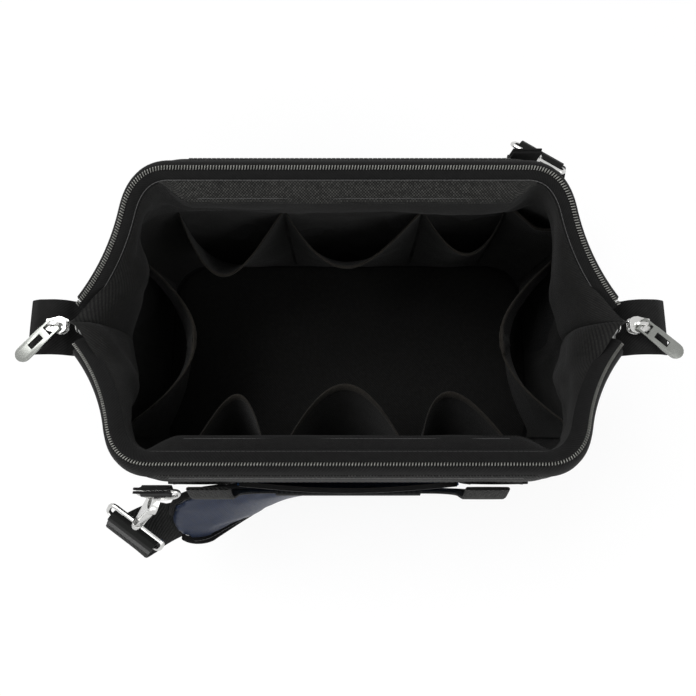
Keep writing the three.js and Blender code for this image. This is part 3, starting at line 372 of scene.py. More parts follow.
def square_to(way, lean):
    flat = lean - way * np.sum(way * lean, axis=1, keepdims=True)
    return flat / np.linalg.norm(flat, axis=1, keepdims=True)


def band_along(name, places, lean, section):
    way = tangents(places)
    across = square_to(way, lean)
    return sweep(name, places, across, np.cross(way, across), section)


def spline(points, count):
    """Even points on a centripetal curve through the given ones."""
    line = np.array([catmull(points, t) for t in np.linspace(0, 1, count * 8 + 1)])
    run = lengths_along(line, 0)
    even = np.linspace(0, run[-1], count + 1)
    return between(even, run, line)


def catmull(points, t):
    last = len(points) - 1
    place = t * last
    i = min(int(place), last - 1)
    weight = place - i
    p1, p2 = points[i], points[i + 1]
    p0 = points[i - 1] if i else 2 * points[0] - points[1]
    p3 = points[i + 2] if i + 2 <= last else 2 * points[last] - points[last - 1]
    d0, d1, d2 = (np.sqrt(max(np.linalg.norm(q), 1e-6)) for q in (p1 - p0, p2 - p1, p3 - p2))
    m1 = ((p1 - p0) / d0 - (p2 - p0) / (d0 + d1) + (p2 - p1) / d1) * d1
    m2 = ((p2 - p1) / d1 - (p3 - p1) / (d1 + d2) + (p3 - p2) / d2) * d1
    return (p1 + m1 * weight + (-3 * p1 + 3 * p2 - 2 * m1 - m2) * weight ** 2
            + (2 * p1 - 2 * p2 + m1 + m2) * weight ** 3)


def fitting(node, name, material, body, slot, bevel, segments=2, levels=0):
    """Stands for a solid that is right in shape: its copy gets rounded edges and a finish."""
    piece = nodes[node].copy()
    piece.data = nodes[node].data.copy()
    piece.name = name
    piece.data.name = name
    piece.parent = None
    for key in list(piece.keys()):
        del piece[key]
    bpy.context.scene.collection.objects.link(piece)
    outwards(piece)
    if bevel:
        apply(piece, "BEVEL", width=bevel * MM, segments=segments, limit_method="ANGLE",
              angle_limit=math.radians(35), use_clamp_overlap=True)
    if levels:
        apply(piece, "SUBSURF", levels=levels, render_levels=levels)
    return dress(smooth(piece, 40), material, body, slot, node)


def repeated(name, unit, frames):
    """One mesh of many copies of a small part. Frames are 4x4 matrices in metres."""
    mesh = unit.data
    co = np.c_[points_of(mesh), np.ones(len(mesh.vertices))]
    faces = [tuple(p.vertices) for p in mesh.polygons]
    count = len(co)
    places = [(np.array(m) @ co.T).T[:, :3] for m in frames]
    made = bpy.data.meshes.new(name)
    made.from_pydata(np.concatenate(places).tolist(), [],
                     [tuple(i + k * count for i in f) for k in range(len(places)) for f in faces])
    return smooth(add_object(name, made))


def axes(origin, x, y, z):
    m = np.eye(4)
    m[:3, 0], m[:3, 1], m[:3, 2], m[:3, 3] = x, y, z, origin
    return m


# Materials

class Nodes:
    """The nodes of a material or of the world, written as one expression after another."""

    def __init__(self, owner):
        owner.use_nodes = True
        self.owner = owner
        self.tree = owner.node_tree
        self.tree.nodes.clear()

    def put(self, kind, settings=None, **inputs):
        """Adds a node. An input is named by its label, or i and its number where labels repeat."""
        node = self.tree.nodes.new(kind)
        for key, value in (settings or {}).items():
            setattr(node, key, value)
        for key, value in inputs.items():
            numbered = key[0] == "i" and key[1:].isdigit()
            socket = node.inputs[int(key[1:])] if numbered else node.inputs[key.replace("_", " ")]
            if isinstance(value, bpy.types.NodeSocket):
                self.tree.links.new(value, socket)
            else:
                socket.default_value = value
        return node

    def math(self, operation, a, b=0.0, c=0.0):
        return self.put("ShaderNodeMath", {"operation": operation}, i0=a, i1=b, i2=c).outputs[0]

    def mix(self, share, a, b, blend="MIX"):
        node = self.put("ShaderNodeMix", {"data_type": "RGBA", "blend_type": blend}, i0=share, i6=a, i7=b)
        return node.outputs[2]

    def noise(self, vector, scale, detail):
        return self.put("ShaderNodeTexNoise", None, Vector=vector, Scale=scale, Detail=detail,
                        Roughness=0.55).outputs[0]

    def place(self):
        return self.put("ShaderNodeTexCoord").outputs["Object"]

    def end(self, kind, socket):
        self.tree.links.new(socket, self.put(kind).inputs[0])
        return self.owner

    def finish(self, **sockets):
        shader = self.put("ShaderNodeBsdfPrincipled", None, **sockets)
        return self.end("ShaderNodeOutputMaterial", shader.outputs[0])


def rgb(red, green, blue, dim=1.0):
    """A colour as seen on screen, 0 to 255, in the linear numbers that nodes use."""
    def linear(c):
        c /= 255
        return dim * (c / 12.92 if c <= 0.04045 else ((c + 0.055) / 1.055) ** 2.4)
    return linear(red), linear(green), linear(blue), 1.0


def woven(name, warp, weft, pitch, *, steps=2, relief=0.12, roughness=0.8, sheen=0.06, uneven=0.5, dust=0.25,
          crease=0.0, tall=1.0, by_place=False, gloss=0.06):
    """Cloth with real threads: which thread lies on top, its round back with painted shade at its sides, its
    own tone, and a little dust.

    Pitch is the distance between threads in millimetres, steps the length of the weave's repeat.
    The threads follow the piece's UV map, or its place for a piece that has no map.
    """
    n = Nodes(bpy.data.materials.new(name))
    place = n.place()
    if by_place:
        uv = n.put("ShaderNodeMapping", None, Vector=place, Rotation=(0.5, 0.3, 0.45)).outputs[0]
    else:
        uv = n.put("ShaderNodeUVMap").outputs[0]
    parts = n.put("ShaderNodeSeparateXYZ", None, Vector=uv)
    u = n.math("DIVIDE", parts.outputs[0], pitch * MM)
    v = n.math("DIVIDE", parts.outputs[1], pitch * tall * MM)
    column, row = n.math("FLOOR", u), n.math("FLOOR", v)
    turn = n.math("FLOORED_MODULO", n.math("ADD", column, row), float(steps))
    over = n.math("LESS_THAN", turn, steps / 2)
    backs = [n.math("SINE", n.math("MULTIPLY", n.math("FRACT", x), math.pi)) for x in (u, v)]
    height = n.math("ADD", n.math("MULTIPLY", backs[0], over),
                    n.math("MULTIPLY", backs[1], n.math("SUBTRACT", 1.0, over)))
    cell = n.put("ShaderNodeCombineXYZ", None, X=column, Y=row)
    tone = n.put("ShaderNodeTexWhiteNoise", {"noise_dimensions": "2D"}, Vector=cell.outputs[0]).outputs[0]
    slub = n.noise(uv, 260.0, 2.0)
    patch = n.noise(place, 14.0, 4.0)
    # Painted shade: each thread is darker towards its sides, where it dips under its neighbours
    shade_tone_dust = n.math("MULTIPLY_ADD", height, 0.55, 0.5)
    shade_tone_dust = n.math("MULTIPLY", shade_tone_dust, n.math("MULTIPLY_ADD", tone, uneven, 1 - uneven / 2))
    shade_tone_dust = n.math("MULTIPLY", shade_tone_dust, n.math("MULTIPLY_ADD", slub, 0.7, 0.65))
    shade_tone_dust = n.math("MULTIPLY", shade_tone_dust, n.math("MULTIPLY_ADD", patch, dust * 2, 1 - dust))
    grey = n.put("ShaderNodeCombineXYZ", None, X=shade_tone_dust, Y=shade_tone_dust, Z=shade_tone_dust).outputs[0]
    colour = n.mix(1.0, n.mix(over, rgb(*weft), rgb(*warp)), grey, "MULTIPLY")
    wave = n.math("MULTIPLY", n.noise(place, 38.0, 3.0), crease)
    lifted = n.math("ADD", n.math("MULTIPLY", height, relief), wave)
    bump = n.put("ShaderNodeBump", None, Strength=0.8, Distance=MM, Height=lifted).outputs[0]
    rough = n.math("MULTIPLY_ADD", tone, 0.12, roughness - 0.06)
    return n.finish(Base_Color=colour, Roughness=rough, Normal=bump, Sheen_Weight=sheen, Sheen_Roughness=0.5,
                    Specular_IOR_Level=gloss)


SCRATCH_DEPTH = 0.02


def brushed(name, colour, roughness, wear):
    """Plated metal: fine scratches, and random patches of wear that are duller and darker."""
    n = Nodes(bpy.data.materials.new(name))
    place = n.place()
    stretched = n.put("ShaderNodeMapping", None, Vector=place, Scale=(1, 1, 9)).outputs[0]
    scratch = n.noise(stretched, 900.0, 4.0)
    patch = n.noise(place, 160.0, 3.0)
    tint = n.mix(n.math("MULTIPLY", patch, wear), rgb(*colour), rgb(*colour, 0.35))
    rough = n.math("ADD", n.math("MULTIPLY", scratch, 0.18),
                   n.math("MULTIPLY_ADD", patch, 0.14, roughness - 0.16))
    bump = n.put("ShaderNodeBump", None, Strength=0.35, Distance=MM * SCRATCH_DEPTH,
                 Height=scratch).outputs[0]
    return n.finish(Base_Color=tint, Metallic=1.0, Roughness=rough, Normal=bump)


def thread(name, colour):
    n = Nodes(bpy.data.materials.new(name))
    twist = n.put("ShaderNodeTexWave", {"bands_direction": "DIAGONAL"}, Vector=n.place(), Scale=1400.0,
                  Distortion=0.5).outputs[1]
    # Painted shade: the grooves of the twist are drawn darker, down to half the thread's colour
    tint = n.mix(twist, rgb(*colour, 0.5), rgb(*colour))
    bump = n.put("ShaderNodeBump", None, Strength=0.5, Distance=0.0001, Height=twist).outputs[0]
    return n.finish(Base_Color=tint, Roughness=0.6, Normal=bump, Sheen_Weight=0.2)


LINING = woven("lining_twill", (35, 35, 34), (23, 23, 23), 0.62, steps=4, crease=0.5)
SHELL = woven("shell_cloth", (25, 25, 26), (14, 14, 15), 0.9, relief=0.16, roughness=0.85, sheen=0.08,
              crease=0.4)
BLUE = woven("blue_cloth", (56, 100, 150), (34, 72, 116), 0.9, relief=0.16, sheen=0.1, crease=0.4)
WEBBING = woven("ribbed_webbing", (50, 50, 49), (15, 15, 15), 0.95, relief=0.3, roughness=0.75, sheen=0.08,
                uneven=0.9, tall=1.6)
STRAP = woven("strap_webbing", (36, 37, 36), (16, 16, 16), 0.95, steps=4, relief=0.28, roughness=0.75,
              sheen=0.08, uneven=0.6)
TAPE = woven("zip_tape_twill", (31, 31, 31), (20, 20, 20), 0.55, steps=4, relief=0.08, uneven=0.4)
HEM = woven("hem_twill", (26, 26, 26), (18, 18, 18), 0.5, steps=4, relief=0.05, uneven=0.3, dust=0.15)
FACING = woven("facing_weave", (60, 60, 58), (26, 26, 26), 1.0, relief=0.14, roughness=0.85, sheen=0.08,
               uneven=0.9)
# A darker copy of the facing cloth, for the front half's band: painted shade
FACING_IN_SHADE = woven("facing_painted_shade", (26, 26, 26), (18, 18, 18), 0.8, relief=0.1, roughness=0.85, sheen=0.05)
PAD = woven("pad_cloth", (10, 30, 60), (4, 14, 32), 0.5, steps=4, relief=0.05, roughness=0.42, sheen=0.05,
            uneven=0.3, crease=0.5, by_place=True, gloss=0.3)
BINDING = woven("binding_tape", (30, 30, 30), (18, 18, 18), 0.6)
PIPING = woven("pocket_piping", (56, 53, 48), (34, 32, 30), 0.6)
NICKEL = brushed("nickel_plate", (214, 214, 212), 0.24, 0.5)
DARK_NICKEL = brushed("dark_nickel", (150, 152, 148), 0.26, 0.6)
TOOTH = brushed("tooth_metal", (128, 128, 124), 0.4, 0.8)
ROD = brushed("rod_steel", (150, 151, 150), 0.4, 0.8)
THREAD = thread("sewing_thread", (58, 58, 58))


# Stitches: one is modelled, then copied along each seam

def unit_stitch():
    """One stitch: a short length of thread lying along X, its ends drawn down into the cloth."""
    bpy.ops.mesh.primitive_cylinder_add(vertices=6, radius=0.32 * MM, depth=2.4 * MM,
                                        rotation=(0, math.pi / 2, 0))
    unit = bpy.context.object
    bpy.ops.object.transform_apply(location=False, rotation=True, scale=True)
    set_mode("EDIT")
    bpy.ops.mesh.select_all(action="DESELECT")
    bpy.ops.mesh.select_mode(type="FACE")
    set_mode("OBJECT")
    for face in unit.data.polygons:
        face.select = abs(face.normal.x) > 0.9
    set_mode("EDIT")
    bpy.ops.mesh.inset(thickness=0.12 * MM)
    bpy.ops.mesh.select_more()
    set_mode("OBJECT")
    for vertex in unit.data.vertices:
        tip = math.hypot(vertex.co.y, vertex.co.z) < 0.25 * MM
        vertex.co.x *= 1.18 if tip else 1.0
        vertex.co.z -= 0.18 * MM * (vertex.co.x / (1.2 * MM)) ** 2
    return unit


STITCH = unit_stitch()


def seam(name, places, out, body, pitch=3.6, width=1.0):
    """A row of stitches on a line of points, standing a little proud of the cloth."""
    run = lengths_along(places, 0)
    marks = np.arange(pitch / 2, run[-1] - pitch / 3, pitch)
    at = between(marks, run, places)
    way = between(marks + 0.4, run, places) - between(marks - 0.4, run, places)
    way /= np.linalg.norm(way, axis=1, keepdims=True)
    up = square_to(way, between(marks, run, out))
    side = np.cross(up, way)
    frames = [axes(p * MM, w, s * width, u * width) for p, w, s, u in zip(at, way, side, up)]
    dress(repeated(name, STITCH, frames), THREAD, body, "webbing")


# Walls: outer cloth, each end wall in two halves, a front and a back

def steps_over(turn, height, step, least):
    """How many steps of about the given length fit on a line along the walls."""
    return max(least, int(lengths_along(wall_at(turn, height), 0)[-1] / step))


def grid_over(start, end, rows, columns):
    """Turn, share of the height and share of the width for every point of a sheet on the walls."""
    turn = np.linspace(start, end, columns + 1)[None, :].repeat(rows + 1, 0)
    share = np.linspace(0, 1, rows + 1)[:, None].repeat(columns + 1, 1)
    return turn, share, (turn - start) / (end - start)


def wall_sheet(name, start, end, low, high, lift, thickness, step=5.0, crumpled=(0.0, 0.0), seed=1, edge=0.0):
    """Cloth on the walls between two turns and two heights. Crumpled gives its wide and its narrow waves."""
    reach = float(high(np.array(0.5))) if callable(high) else high
    columns = steps_over(np.linspace(start, end, 40), (low + reach) / 2, step, 6)
    rows = steps_over((start + end) / 2, np.linspace(low, reach, 20), step, 4)
    turn, share, along = grid_over(start, end, rows, columns)
    top = high(along) if callable(high) else high
    height = low + (top - low) * share
    away = lift(along, share) if callable(lift) else np.full_like(turn, float(lift))
    base = on_wall(turn, height, away)
    ripple = crumple(base, 46, seed) * crumpled[0] + crumple(base, 15, seed + 3) * crumpled[1]
    hold = np.minimum(1, 6 * np.minimum(share, 1 - share)) * np.minimum(1, 6 * np.minimum(along, 1 - along))
    points = on_wall(turn, height, away + ripple * hold)
    return cloth(name, points, thickness, edge)


SEAM_GAP = 0.001
SHELL_TOP = WALL_TOP + 0.03
SHELL_THICKNESS = 3.2
END_HALVES = (("right", "front", 0.6, 1.0), ("right", "back", 1.0, 1.4), ("left", "back", 2.6, 3.0),
              ("left", "front", 3.0, 3.4))


def end_rise(start, end):
    """The end walls rise to the zip's end in their middle."""
    middle = round((start + end) / 2 + (0.2 if start % 1 else -0.2))

    def rise(along):
        away = np.abs(start + (end - start) * along - middle)
        return SHELL_TOP + 0.1 * np.clip(1 - away / 0.1, 0, 1)
    return rise


for side, middle in (("front", 0), ("back", 2)):
    outer = wall_sheet(side + "_shell", middle - SEAM + SEAM_GAP, middle + SEAM - SEAM_GAP, 0.0, SHELL_TOP,
                       0.0, SHELL_THICKNESS, crumpled=(2.2, 0.7), seed=2 + middle)
    dress(outer, SHELL, side, "shell", side + "_panel")
for side, half, start, end in END_HALVES:
    outer = wall_sheet(f"{side}_{half}_shell", start, end, 0.0, end_rise(start, end), 0.0, SHELL_THICKNESS,
                       crumpled=(2.4, 0.7), seed=8 + int(start * 10))
    dress(outer, SHELL, half, "shell", f"{side}_end_panel")


# Lining: from the floor up the wall, then in under the facing beside the zip

def facing_reach(share):
    """How far the facing reaches in from the mouth line: wide along the straights, narrow on the arms."""
    return 24.5 - 13.5 * ease((np.abs(share) - 0.45) / 0.1)


def facing_drop(share):
    return 7.5 - 4.5 * ease((np.abs(share) - 0.45) / 0.1)


def lining_top(turn, back):
    """The line where the lining is sewn to the facing. At the pivots it is drawn up over the rivet."""
    share = share_of(turn)
    way = np.where(np.sin(turn * math.pi / 2) < 0, -1.0, 1.0) * (-1 if back else 1)
    top = rim_at(way * share, -facing_reach(share) + 0.6, -facing_drop(share), back)
    over = ease((share - 0.86) / 0.12)
    top[..., 1] *= 1 - ease((share - 0.9) / 0.1)
    top[..., 2] += 13.0 * over
    top[..., 0] += np.sign(top[..., 0]) * 3.0 * over
    return top


def lining_curve(turn, back, s):
    """The lining above the pockets: it hangs free from the facing, and slumps inwards at the bag's ends."""
    share = share_of(turn)
    slump = ease((share - 0.66) / 0.2)
    free = 0.6 - 0.18 * slump
    low = on_wall(turn, free, -WALL + 1.4)
    belly = on_wall(turn, free + 0.12, -WALL - 1.0 - 24.0 * slump)
    top = lining_top(turn, back)
    over = ease((share - 0.86) / 0.12)
    inward = np.stack([-np.sign(top[..., 0]) * (20.0 * slump + 14.0 * over), np.zeros_like(share),
                       -28.0 + 16.0 * slump + 18.0 * over], -1)
    s = s[..., None]
    curve = (1 - s) ** 3 * low + 3 * s * (1 - s) ** 2 * belly
    return curve + 3 * s * s * (1 - s) * (top + inward) + s ** 3 * top, free


LINING_ROWS = 44
LINING_THICKNESS = 1.2


def lining_sheet(name, start, end, body, seed, creases=()):
    """Each crease is ((turn, share of height), direction, width, depth)."""
    columns = steps_over(np.linspace(start, end, 40), 0.6, 4.0, 8)
    turn, share, along = grid_over(start, end, LINING_ROWS, columns)
    hanging, free = lining_curve(turn, body == "back", np.clip((share - 0.5) / 0.5, 0, 1))
    low = on_wall(turn, np.minimum(share / 0.5, 1) * free, -WALL + 1.4)
    points = np.where(share[..., None] <= 0.5, low, hanging)
    ripple = crumple(points, 52, seed) * 4.0 + crumple(points, 17, seed + 3) * 1.1
    for place, way, width, depth in creases:
        line = (turn - place[0]) * 130 * math.cos(way) + (share - place[1]) * 190 * math.sin(way)
        run = -(turn - place[0]) * 130 * math.sin(way) + (share - place[1]) * 190 * math.cos(way)
        ripple = ripple + depth * np.exp(-(line / width) ** 2) * np.exp(-(run / 38) ** 2)
    hold = ease(share * 6) * ease((1 - share) * 7) * ease(along * 10) * ease((1 - along) * 10)
    normal = np.cross(np.gradient(points, axis=1), np.gradient(points, axis=0))
    normal /= np.linalg.norm(normal, axis=-1, keepdims=True)
    points = points + normal * (ripple * hold)[..., None]
    dress(cloth(name, points, LINING_THICKNESS, offset=0), LINING, body, "lining")


lining_sheet("front_lining", -SEAM, SEAM, "front", 5)
lining_sheet("back_lining", 2 - SEAM, 2 + SEAM, "back", 7,
             creases=(((1.46, 0.8), 0.5, 5.0, -3.0), ((2.5, 0.78), 2.4, 5.0, -3.5)))
lining_sheet("right_front_lining", 0.6, 1.0, "front", 11,
             creases=(((0.86, 0.82), 0.5, 5.0, 3.5), ((0.76, 0.7), 0.7, 6.0, -3.0)))
lining_sheet("right_back_lining", 1.0, 1.4, "back", 12, creases=(((1.3, 0.8), 2.3, 6.0, -3.0),))
lining_sheet("left_back_lining", 2.6, 3.0, "back", 13,
             creases=(((2.66, 0.82), 2.5, 6.0, 4.5), ((2.72, 0.74), 2.5, 6.0, -4.0)))
lining_sheet("left_front_lining", 3.0, 3.4, "front", 14, creases=(((3.2, 0.8), 0.6, 7.0, -3.0),))


# Inside pockets, with a hem along each mouth

POCKET_BOTTOM = 0.05
HEM_SECTION = ((0.965, 0.5), (0.98, 0.8), (0.995, 0.6), (1.004, -0.1), (1.006, -0.7), (1.004, -1.3),
               (0.995, -1.9), (0.98, -2.0), (0.965, -1.7))


def inside_pocket(name, start, end, mouth, foot, top, dip, body, seed, peak=0.5):
    """Peak is the place along the mouth where the pocket stands furthest open."""
    lean = math.log(0.5) / math.log(peak)

    def swell(along):
        return np.sin(np.pi * np.clip(along, 0, 1) ** lean) ** 0.9

    def belly(along, share):
        return -(WALL + 0.7 + swell(along) * (foot + (mouth - foot) * share ** 1.2))

    def rim(along):
        return top - dip * swell(along)

    def height_at(along, share):
        return POCKET_BOTTOM + (rim(along) - POCKET_BOTTOM) * share
    piece = wall_sheet(name + "_cloth", start, end, POCKET_BOTTOM, rim, belly, LINING_THICKNESS, step=3.5,
                       crumpled=(1.8, 0.6), seed=seed)
    dress(piece, LINING, body, "lining", name)
    turn = np.linspace(start, end, 90)
    along = np.linspace(0, 1, 90)
    hem = [on_wall(turn, height_at(along, share), belly(along, min(share, 1.0)) + lift)
           for share, lift in HEM_SECTION]
    dress(tube(name + "_hem", hem), PIPING, body, "lining")
    height = height_at(along, 0.972)
    line = on_wall(turn, height, belly(along, 0.972) - 1.9)
    seam(name + "_stitches", line, -wall_out(turn, height), body, pitch=3.2, width=0.7)


def turn_of(x):
    return x * ROUND_PER_X


GAP_TURN = turn_of(1.5)
POCKET_ROWS = {
    "front": (("left", -112, -48, 58, 0.64, 21), ("middle", -48, 44, 66, 0.5, 22),
              ("right", 44, 114, 60, 0.3, 23)),
    "back": (("left", 43, 115, 50, 0.56, 24), ("middle", -50, 43, 43, 0.55, 25),
             ("right", -106, -50, 32, 0.46, 26)),
}
for side, middle in (("front", 0), ("back", 2)):
    for part, from_x, to_x, mouth, peak, seed in POCKET_ROWS[side]:
        inside_pocket(f"{side}_{part}_pocket", middle + turn_of(from_x) + GAP_TURN,
                      middle + turn_of(to_x) - GAP_TURN, body=side, seed=seed, mouth=mouth, peak=peak,
                      foot=3, top=0.6, dip=0.05)
inside_pocket("back_corner_pocket", 2 - SEAM - 0.02, 2 + turn_of(-106) - GAP_TURN, 12, 3, 0.68, 0.02,
              "back", 27)
for side, middle in (("right", 1), ("left", 3)):
    inside_pocket(side + "_inner_pocket", middle - 0.36, middle + 0.36, 66, 22, 0.6, 0.05, "bag", 28 + middle)


# Bottom: the lined board inside and the panel below

def flat_map(piece):
    """Lays the weave flat on a level piece."""
    layers = piece.data.uv_layers
    flat = (layers[0] if layers else layers.new(name="UVMap")).data
    for loop in piece.data.loops:
        co = piece.data.vertices[loop.vertex_index].co
        flat[loop.index].uv = (co.x, co.y)
    return piece


BOARD_OUTLINE = (347, 192, 38)
BOARD_RINGS = ((0.0, 7.2), (0.25, 7.1), (0.5, 7.0), (0.7, 6.9), (0.85, 6.8), (0.94, 6.6), (0.98, 6.1),
               (1.0, 5.0), (0.995, 3.6))


def board():
    turn = np.linspace(0, 4, 97)[:-1]
    x, y = rounded_at(share_of(turn), *BOARD_OUTLINE)
    side_x, side_y = sides_of(turn)
    points = np.array([np.stack([side_x * x * scale, side_y * y * scale, np.full_like(x, z)], -1)
                       for scale, z in BOARD_RINGS])
    points[..., 2] += crumple(points, 40, 31) * 0.7
    return smooth(flat_map(outwards(skin("floor_lining", points, closed=True))))


dress(board(), LINING, "bag", "lining", "base_board")
flat_map(fitting("base_panel", "bottom_cloth", SHELL, "bag", "shell", 1.0, 3))


# Mouth frame, zip and rim

def stations(end, step):
    """Places along a whole half of the mouth line, spread by distance."""
    fine = np.linspace(-end, end, 801)
    run = lengths_along(rim_at(fine, 0.0, 0.0), 0)
    count = int(run[-1] / step)
    return np.interp(np.linspace(0, run[-1], count + 1), run, fine)


def tooth_unit():
    """One zip tooth: a slanted bar with rounded edges, higher in its middle."""
    bpy.ops.mesh.primitive_cube_add(size=1.0, location=(0, 0, 0))
    unit = bpy.context.object
    unit.scale = (0.85 * MM, 2.9 * MM, 1.4 * MM)
    bpy.ops.object.transform_apply(location=False, rotation=False, scale=True)
    apply(unit, "BEVEL", width=0.24 * MM, segments=1)
    for vertex in unit.data.vertices:
        vertex.co.x += vertex.co.y * 0.22
        vertex.co.z += 0.25 * MM * (1 - (vertex.co.y / (1.7 * MM)) ** 2)
    return unit


TOOTH_UNIT = tooth_unit()
TOOTH_ACROSS = -1.8
TOOTH_THROUGH = -0.4
TOOTH_PITCH = 1.85
HEM_WIDTH = 7.4
FACING_FROM = 3.2
FACING_END = 0.55
SEAM_END = 0.46
TAPE_SECTION = ((-4.2, -0.7), (-1.2, -1.0), (0.4, -1.7), (1.8, -3.2), (2.5, -6.4), (2.2, -10.0),
                (1.2, -10.0), (1.4, -6.4), (0.8, -4.1), (-0.4, -2.8), (-1.8, -2.3), (-4.4, -1.7))


def facing_at(marks, inwards, lift, back):
    """A point on the cloth beside the teeth: inwards is the distance from the teeth, lift above the cloth."""
    reach = facing_reach(marks) - FACING_FROM
    along = np.clip(inwards / reach, 0, 1.2)
    return rim_at(marks, -FACING_FROM - inwards, -0.3 - facing_drop(marks) * along ** 1.7 + lift, back)


def facing_seam(name, side, marks, inwards, lift, width):
    """Stitches along the cloth beside the teeth."""
    back = side == "back"
    places = facing_at(marks, inwards, lift, back)
    seam(f"{side}_{name}_seam", places, facing_at(marks, inwards, lift + 1, back) - places, side + "_frame",
         pitch=3.0, width=width)


for side in ("front", "back"):
    back = side == "back"
    body = side + "_frame"
    middle = 2 if back else 0

    # Inwards from the teeth: smooth tape all along, and a woven band on the straights, turned under
    marks = stations(ZIP_END, 2.5)
    edge = [facing_at(marks, HEM_WIDTH * u, 0.25 * math.sin(math.pi * u), back)
            for u in np.linspace(-0.12, 1, 9)]
    hem = cloth(side + "_zip_hem", edge, 1.1, edge=0.35, offset=-1 if back else 1)
    dress(hem, HEM, body, "zip_tape", side + "_zip_tape")

    marks = marks[np.abs(marks) <= FACING_END]
    width = np.maximum(facing_reach(marks) - FACING_FROM, HEM_WIDTH + 0.4)
    begin = HEM_WIDTH - 1.2
    ripple = crumple(rim_at(marks, -20.0, 0.0, back), 34, 70 + middle)
    edge = [facing_at(marks, begin + (width - begin) * u, -0.5 + ripple * 1.2 * u, back)
            for u in np.linspace(0, 1, 8)]
    edge.append(rim_at(marks, -facing_reach(marks) + 2.4, -facing_drop(marks) - 3.0, back))
    woven_band = cloth(side + "_facing_band", edge, 1.2, edge=0.3, offset=0)
    # The front half's band takes the darker copy of the facing cloth, as painted shade
    dress(woven_band, FACING if back else FACING_IN_SHADE, body, "webbing", side + "_frame_sleeve")

    # The outer half of the tape turns down over the edge and under the webbing.
    marks = stations(TAPE_END, 3.0)
    skirt = tube(side + "_outer_tape", [rim_at(marks, a, t, back) for a, t in TAPE_SECTION])
    dress(skirt, TAPE, body, "zip_tape")

    # Ribbed webbing round the outside, from the wall up over the edge of the rim, turned in at the corners
    marks = stations(BAND_END, 2.5)
    turned_in = 1.6 * ease((np.abs(marks) - SEAM_END) / 0.12)
    edge = [on_wall(middle + marks, h, 0.6 + 0.2 * math.sin(math.pi * i / 8) - turned_in)
            for i, h in enumerate(np.linspace(WALL_TOP, 0.992, 9))]
    edge += [rim_at(marks, a - turned_in * 2.4, t, back)
             for a, t in ((1.8, -16.0), (2.8, -12.0), (3.3, -9.0), (3.0, -6.6))]
    band = cloth(side + "_rim_webbing", edge, 1.8, edge=0.5)
    dress(band, WEBBING, body, "webbing", side + "_rim_band")

    marks = stations(ZIP_END, 1.0)
    run = lengths_along(rim_at(marks, TOOTH_ACROSS, TOOTH_THROUGH, back), 0)
    count = int(run[-1] / TOOTH_PITCH)
    marks = np.interp((np.arange(count) + 0.5) * run[-1] / count, run, marks)
    places = rim_at(marks, TOOTH_ACROSS, TOOTH_THROUGH, back)
    out = rim_at(marks, TOOTH_ACROSS + 1, TOOTH_THROUGH, back) - places
    through = rim_at(marks, TOOTH_ACROSS, TOOTH_THROUGH + 1, back) - places
    way = np.cross(out, through)
    frames = [axes(p * MM, w, o, t) for p, w, o, t in zip(places, way, out, through)]
    teeth = repeated(side + "_zip_teeth", TOOTH_UNIT, frames)
    dress(teeth, TOOTH, body, "zip_coil", side + "_zip_coil")

    marks = stations(0.95, 2.0)
    facing_seam("hem", side, marks, HEM_WIDTH - 1.0, 1.2, 0.8)
    marks = marks[np.abs(marks) <= 0.44]
    facing_seam("facing", side, marks, facing_reach(marks) - 6.2, 0.4, 0.7)
    marks = stations(0.9, 2.0)
    marks = marks[np.abs(marks) <= SEAM_END]
    places = rim_at(marks, 3.7, -8.4, back)
    seam(side + "_webbing_top_seam", places, rim_at(marks, 4.7, -8.0, back) - places, body, pitch=3.0)
    height = WALL_TOP + 0.015
    seam(side + "_webbing_low_seam", on_wall(middle + marks, height, 1.0),
         wall_out(middle + marks, height), body)

    fitting(side + "_frame_rod", side + "_bent_rod", ROD, body, "steel", bevel=0.0)
for side in ("right", "left"):
    fitting(side + "_frame_rivet", side + "_rivet", NICKEL, "bag", "steel", bevel=0.3)


# Outside pockets, load straps, carrying handles

POCKET_SLACK = 4.5
END_POCKET_SLACK = 9.0
POCKET_TOP = 0.8
LOAD_X = 88
BINDING_SECTION = ((0.0, 3.6), (0.02, 3.9), (0.05, 3.7), (0.05, 3.0), (0.05, 0.6), (0.02, 0.2), (0.0, 0.4))

for side, middle in (("front", 0), ("back", 2)):
    pocket = wall_sheet(side + "_patch_pocket", middle - turn_of(66), middle + turn_of(66), 0.03, POCKET_TOP,
                        lambda along, share: 3.0 + POCKET_SLACK * np.sin(np.pi * along) * share, 2.0,
                        crumpled=(1.2, 0.5), seed=41 + middle, edge=0.5)
    dress(pocket, BLUE, side, "blue_cloth", side + "_outer_pocket")
    turn = np.linspace(middle - turn_of(65), middle + turn_of(65), 60)
    along = np.linspace(0, 1, 60)
    edge = [on_wall(turn, POCKET_TOP - drop + 0.004, lift + POCKET_SLACK * np.sin(np.pi * along))
            for drop, lift in BINDING_SECTION]
    dress(tube(side + "_pocket_binding", edge), BINDING, side, "webbing")
    for x in (-LOAD_X, LOAD_X):
        name = side + ("_right" if (x > 0) == (side == "front") else "_left") + "_load_"
        strap = wall_sheet(name + "webbing", middle + turn_of(x - 19), middle + turn_of(x + 19),
                           0.01, WALL_TOP - 0.002, lambda along, share: 2.2 + 0.3 * np.sin(np.pi * along),
                           2.0, step=4.0, edge=0.6)
        dress(strap, WEBBING, side, "webbing", name + "strap")
        for edge in (-15.5, 15.5):
            height = np.linspace(0.03, WALL_TOP - 0.02, 60)
            turn = middle + turn_of(x + edge)
            seam(name + ("seam_a" if edge < 0 else "seam_b"), on_wall(turn, height, 2.5),
                 wall_out(turn, height), side)
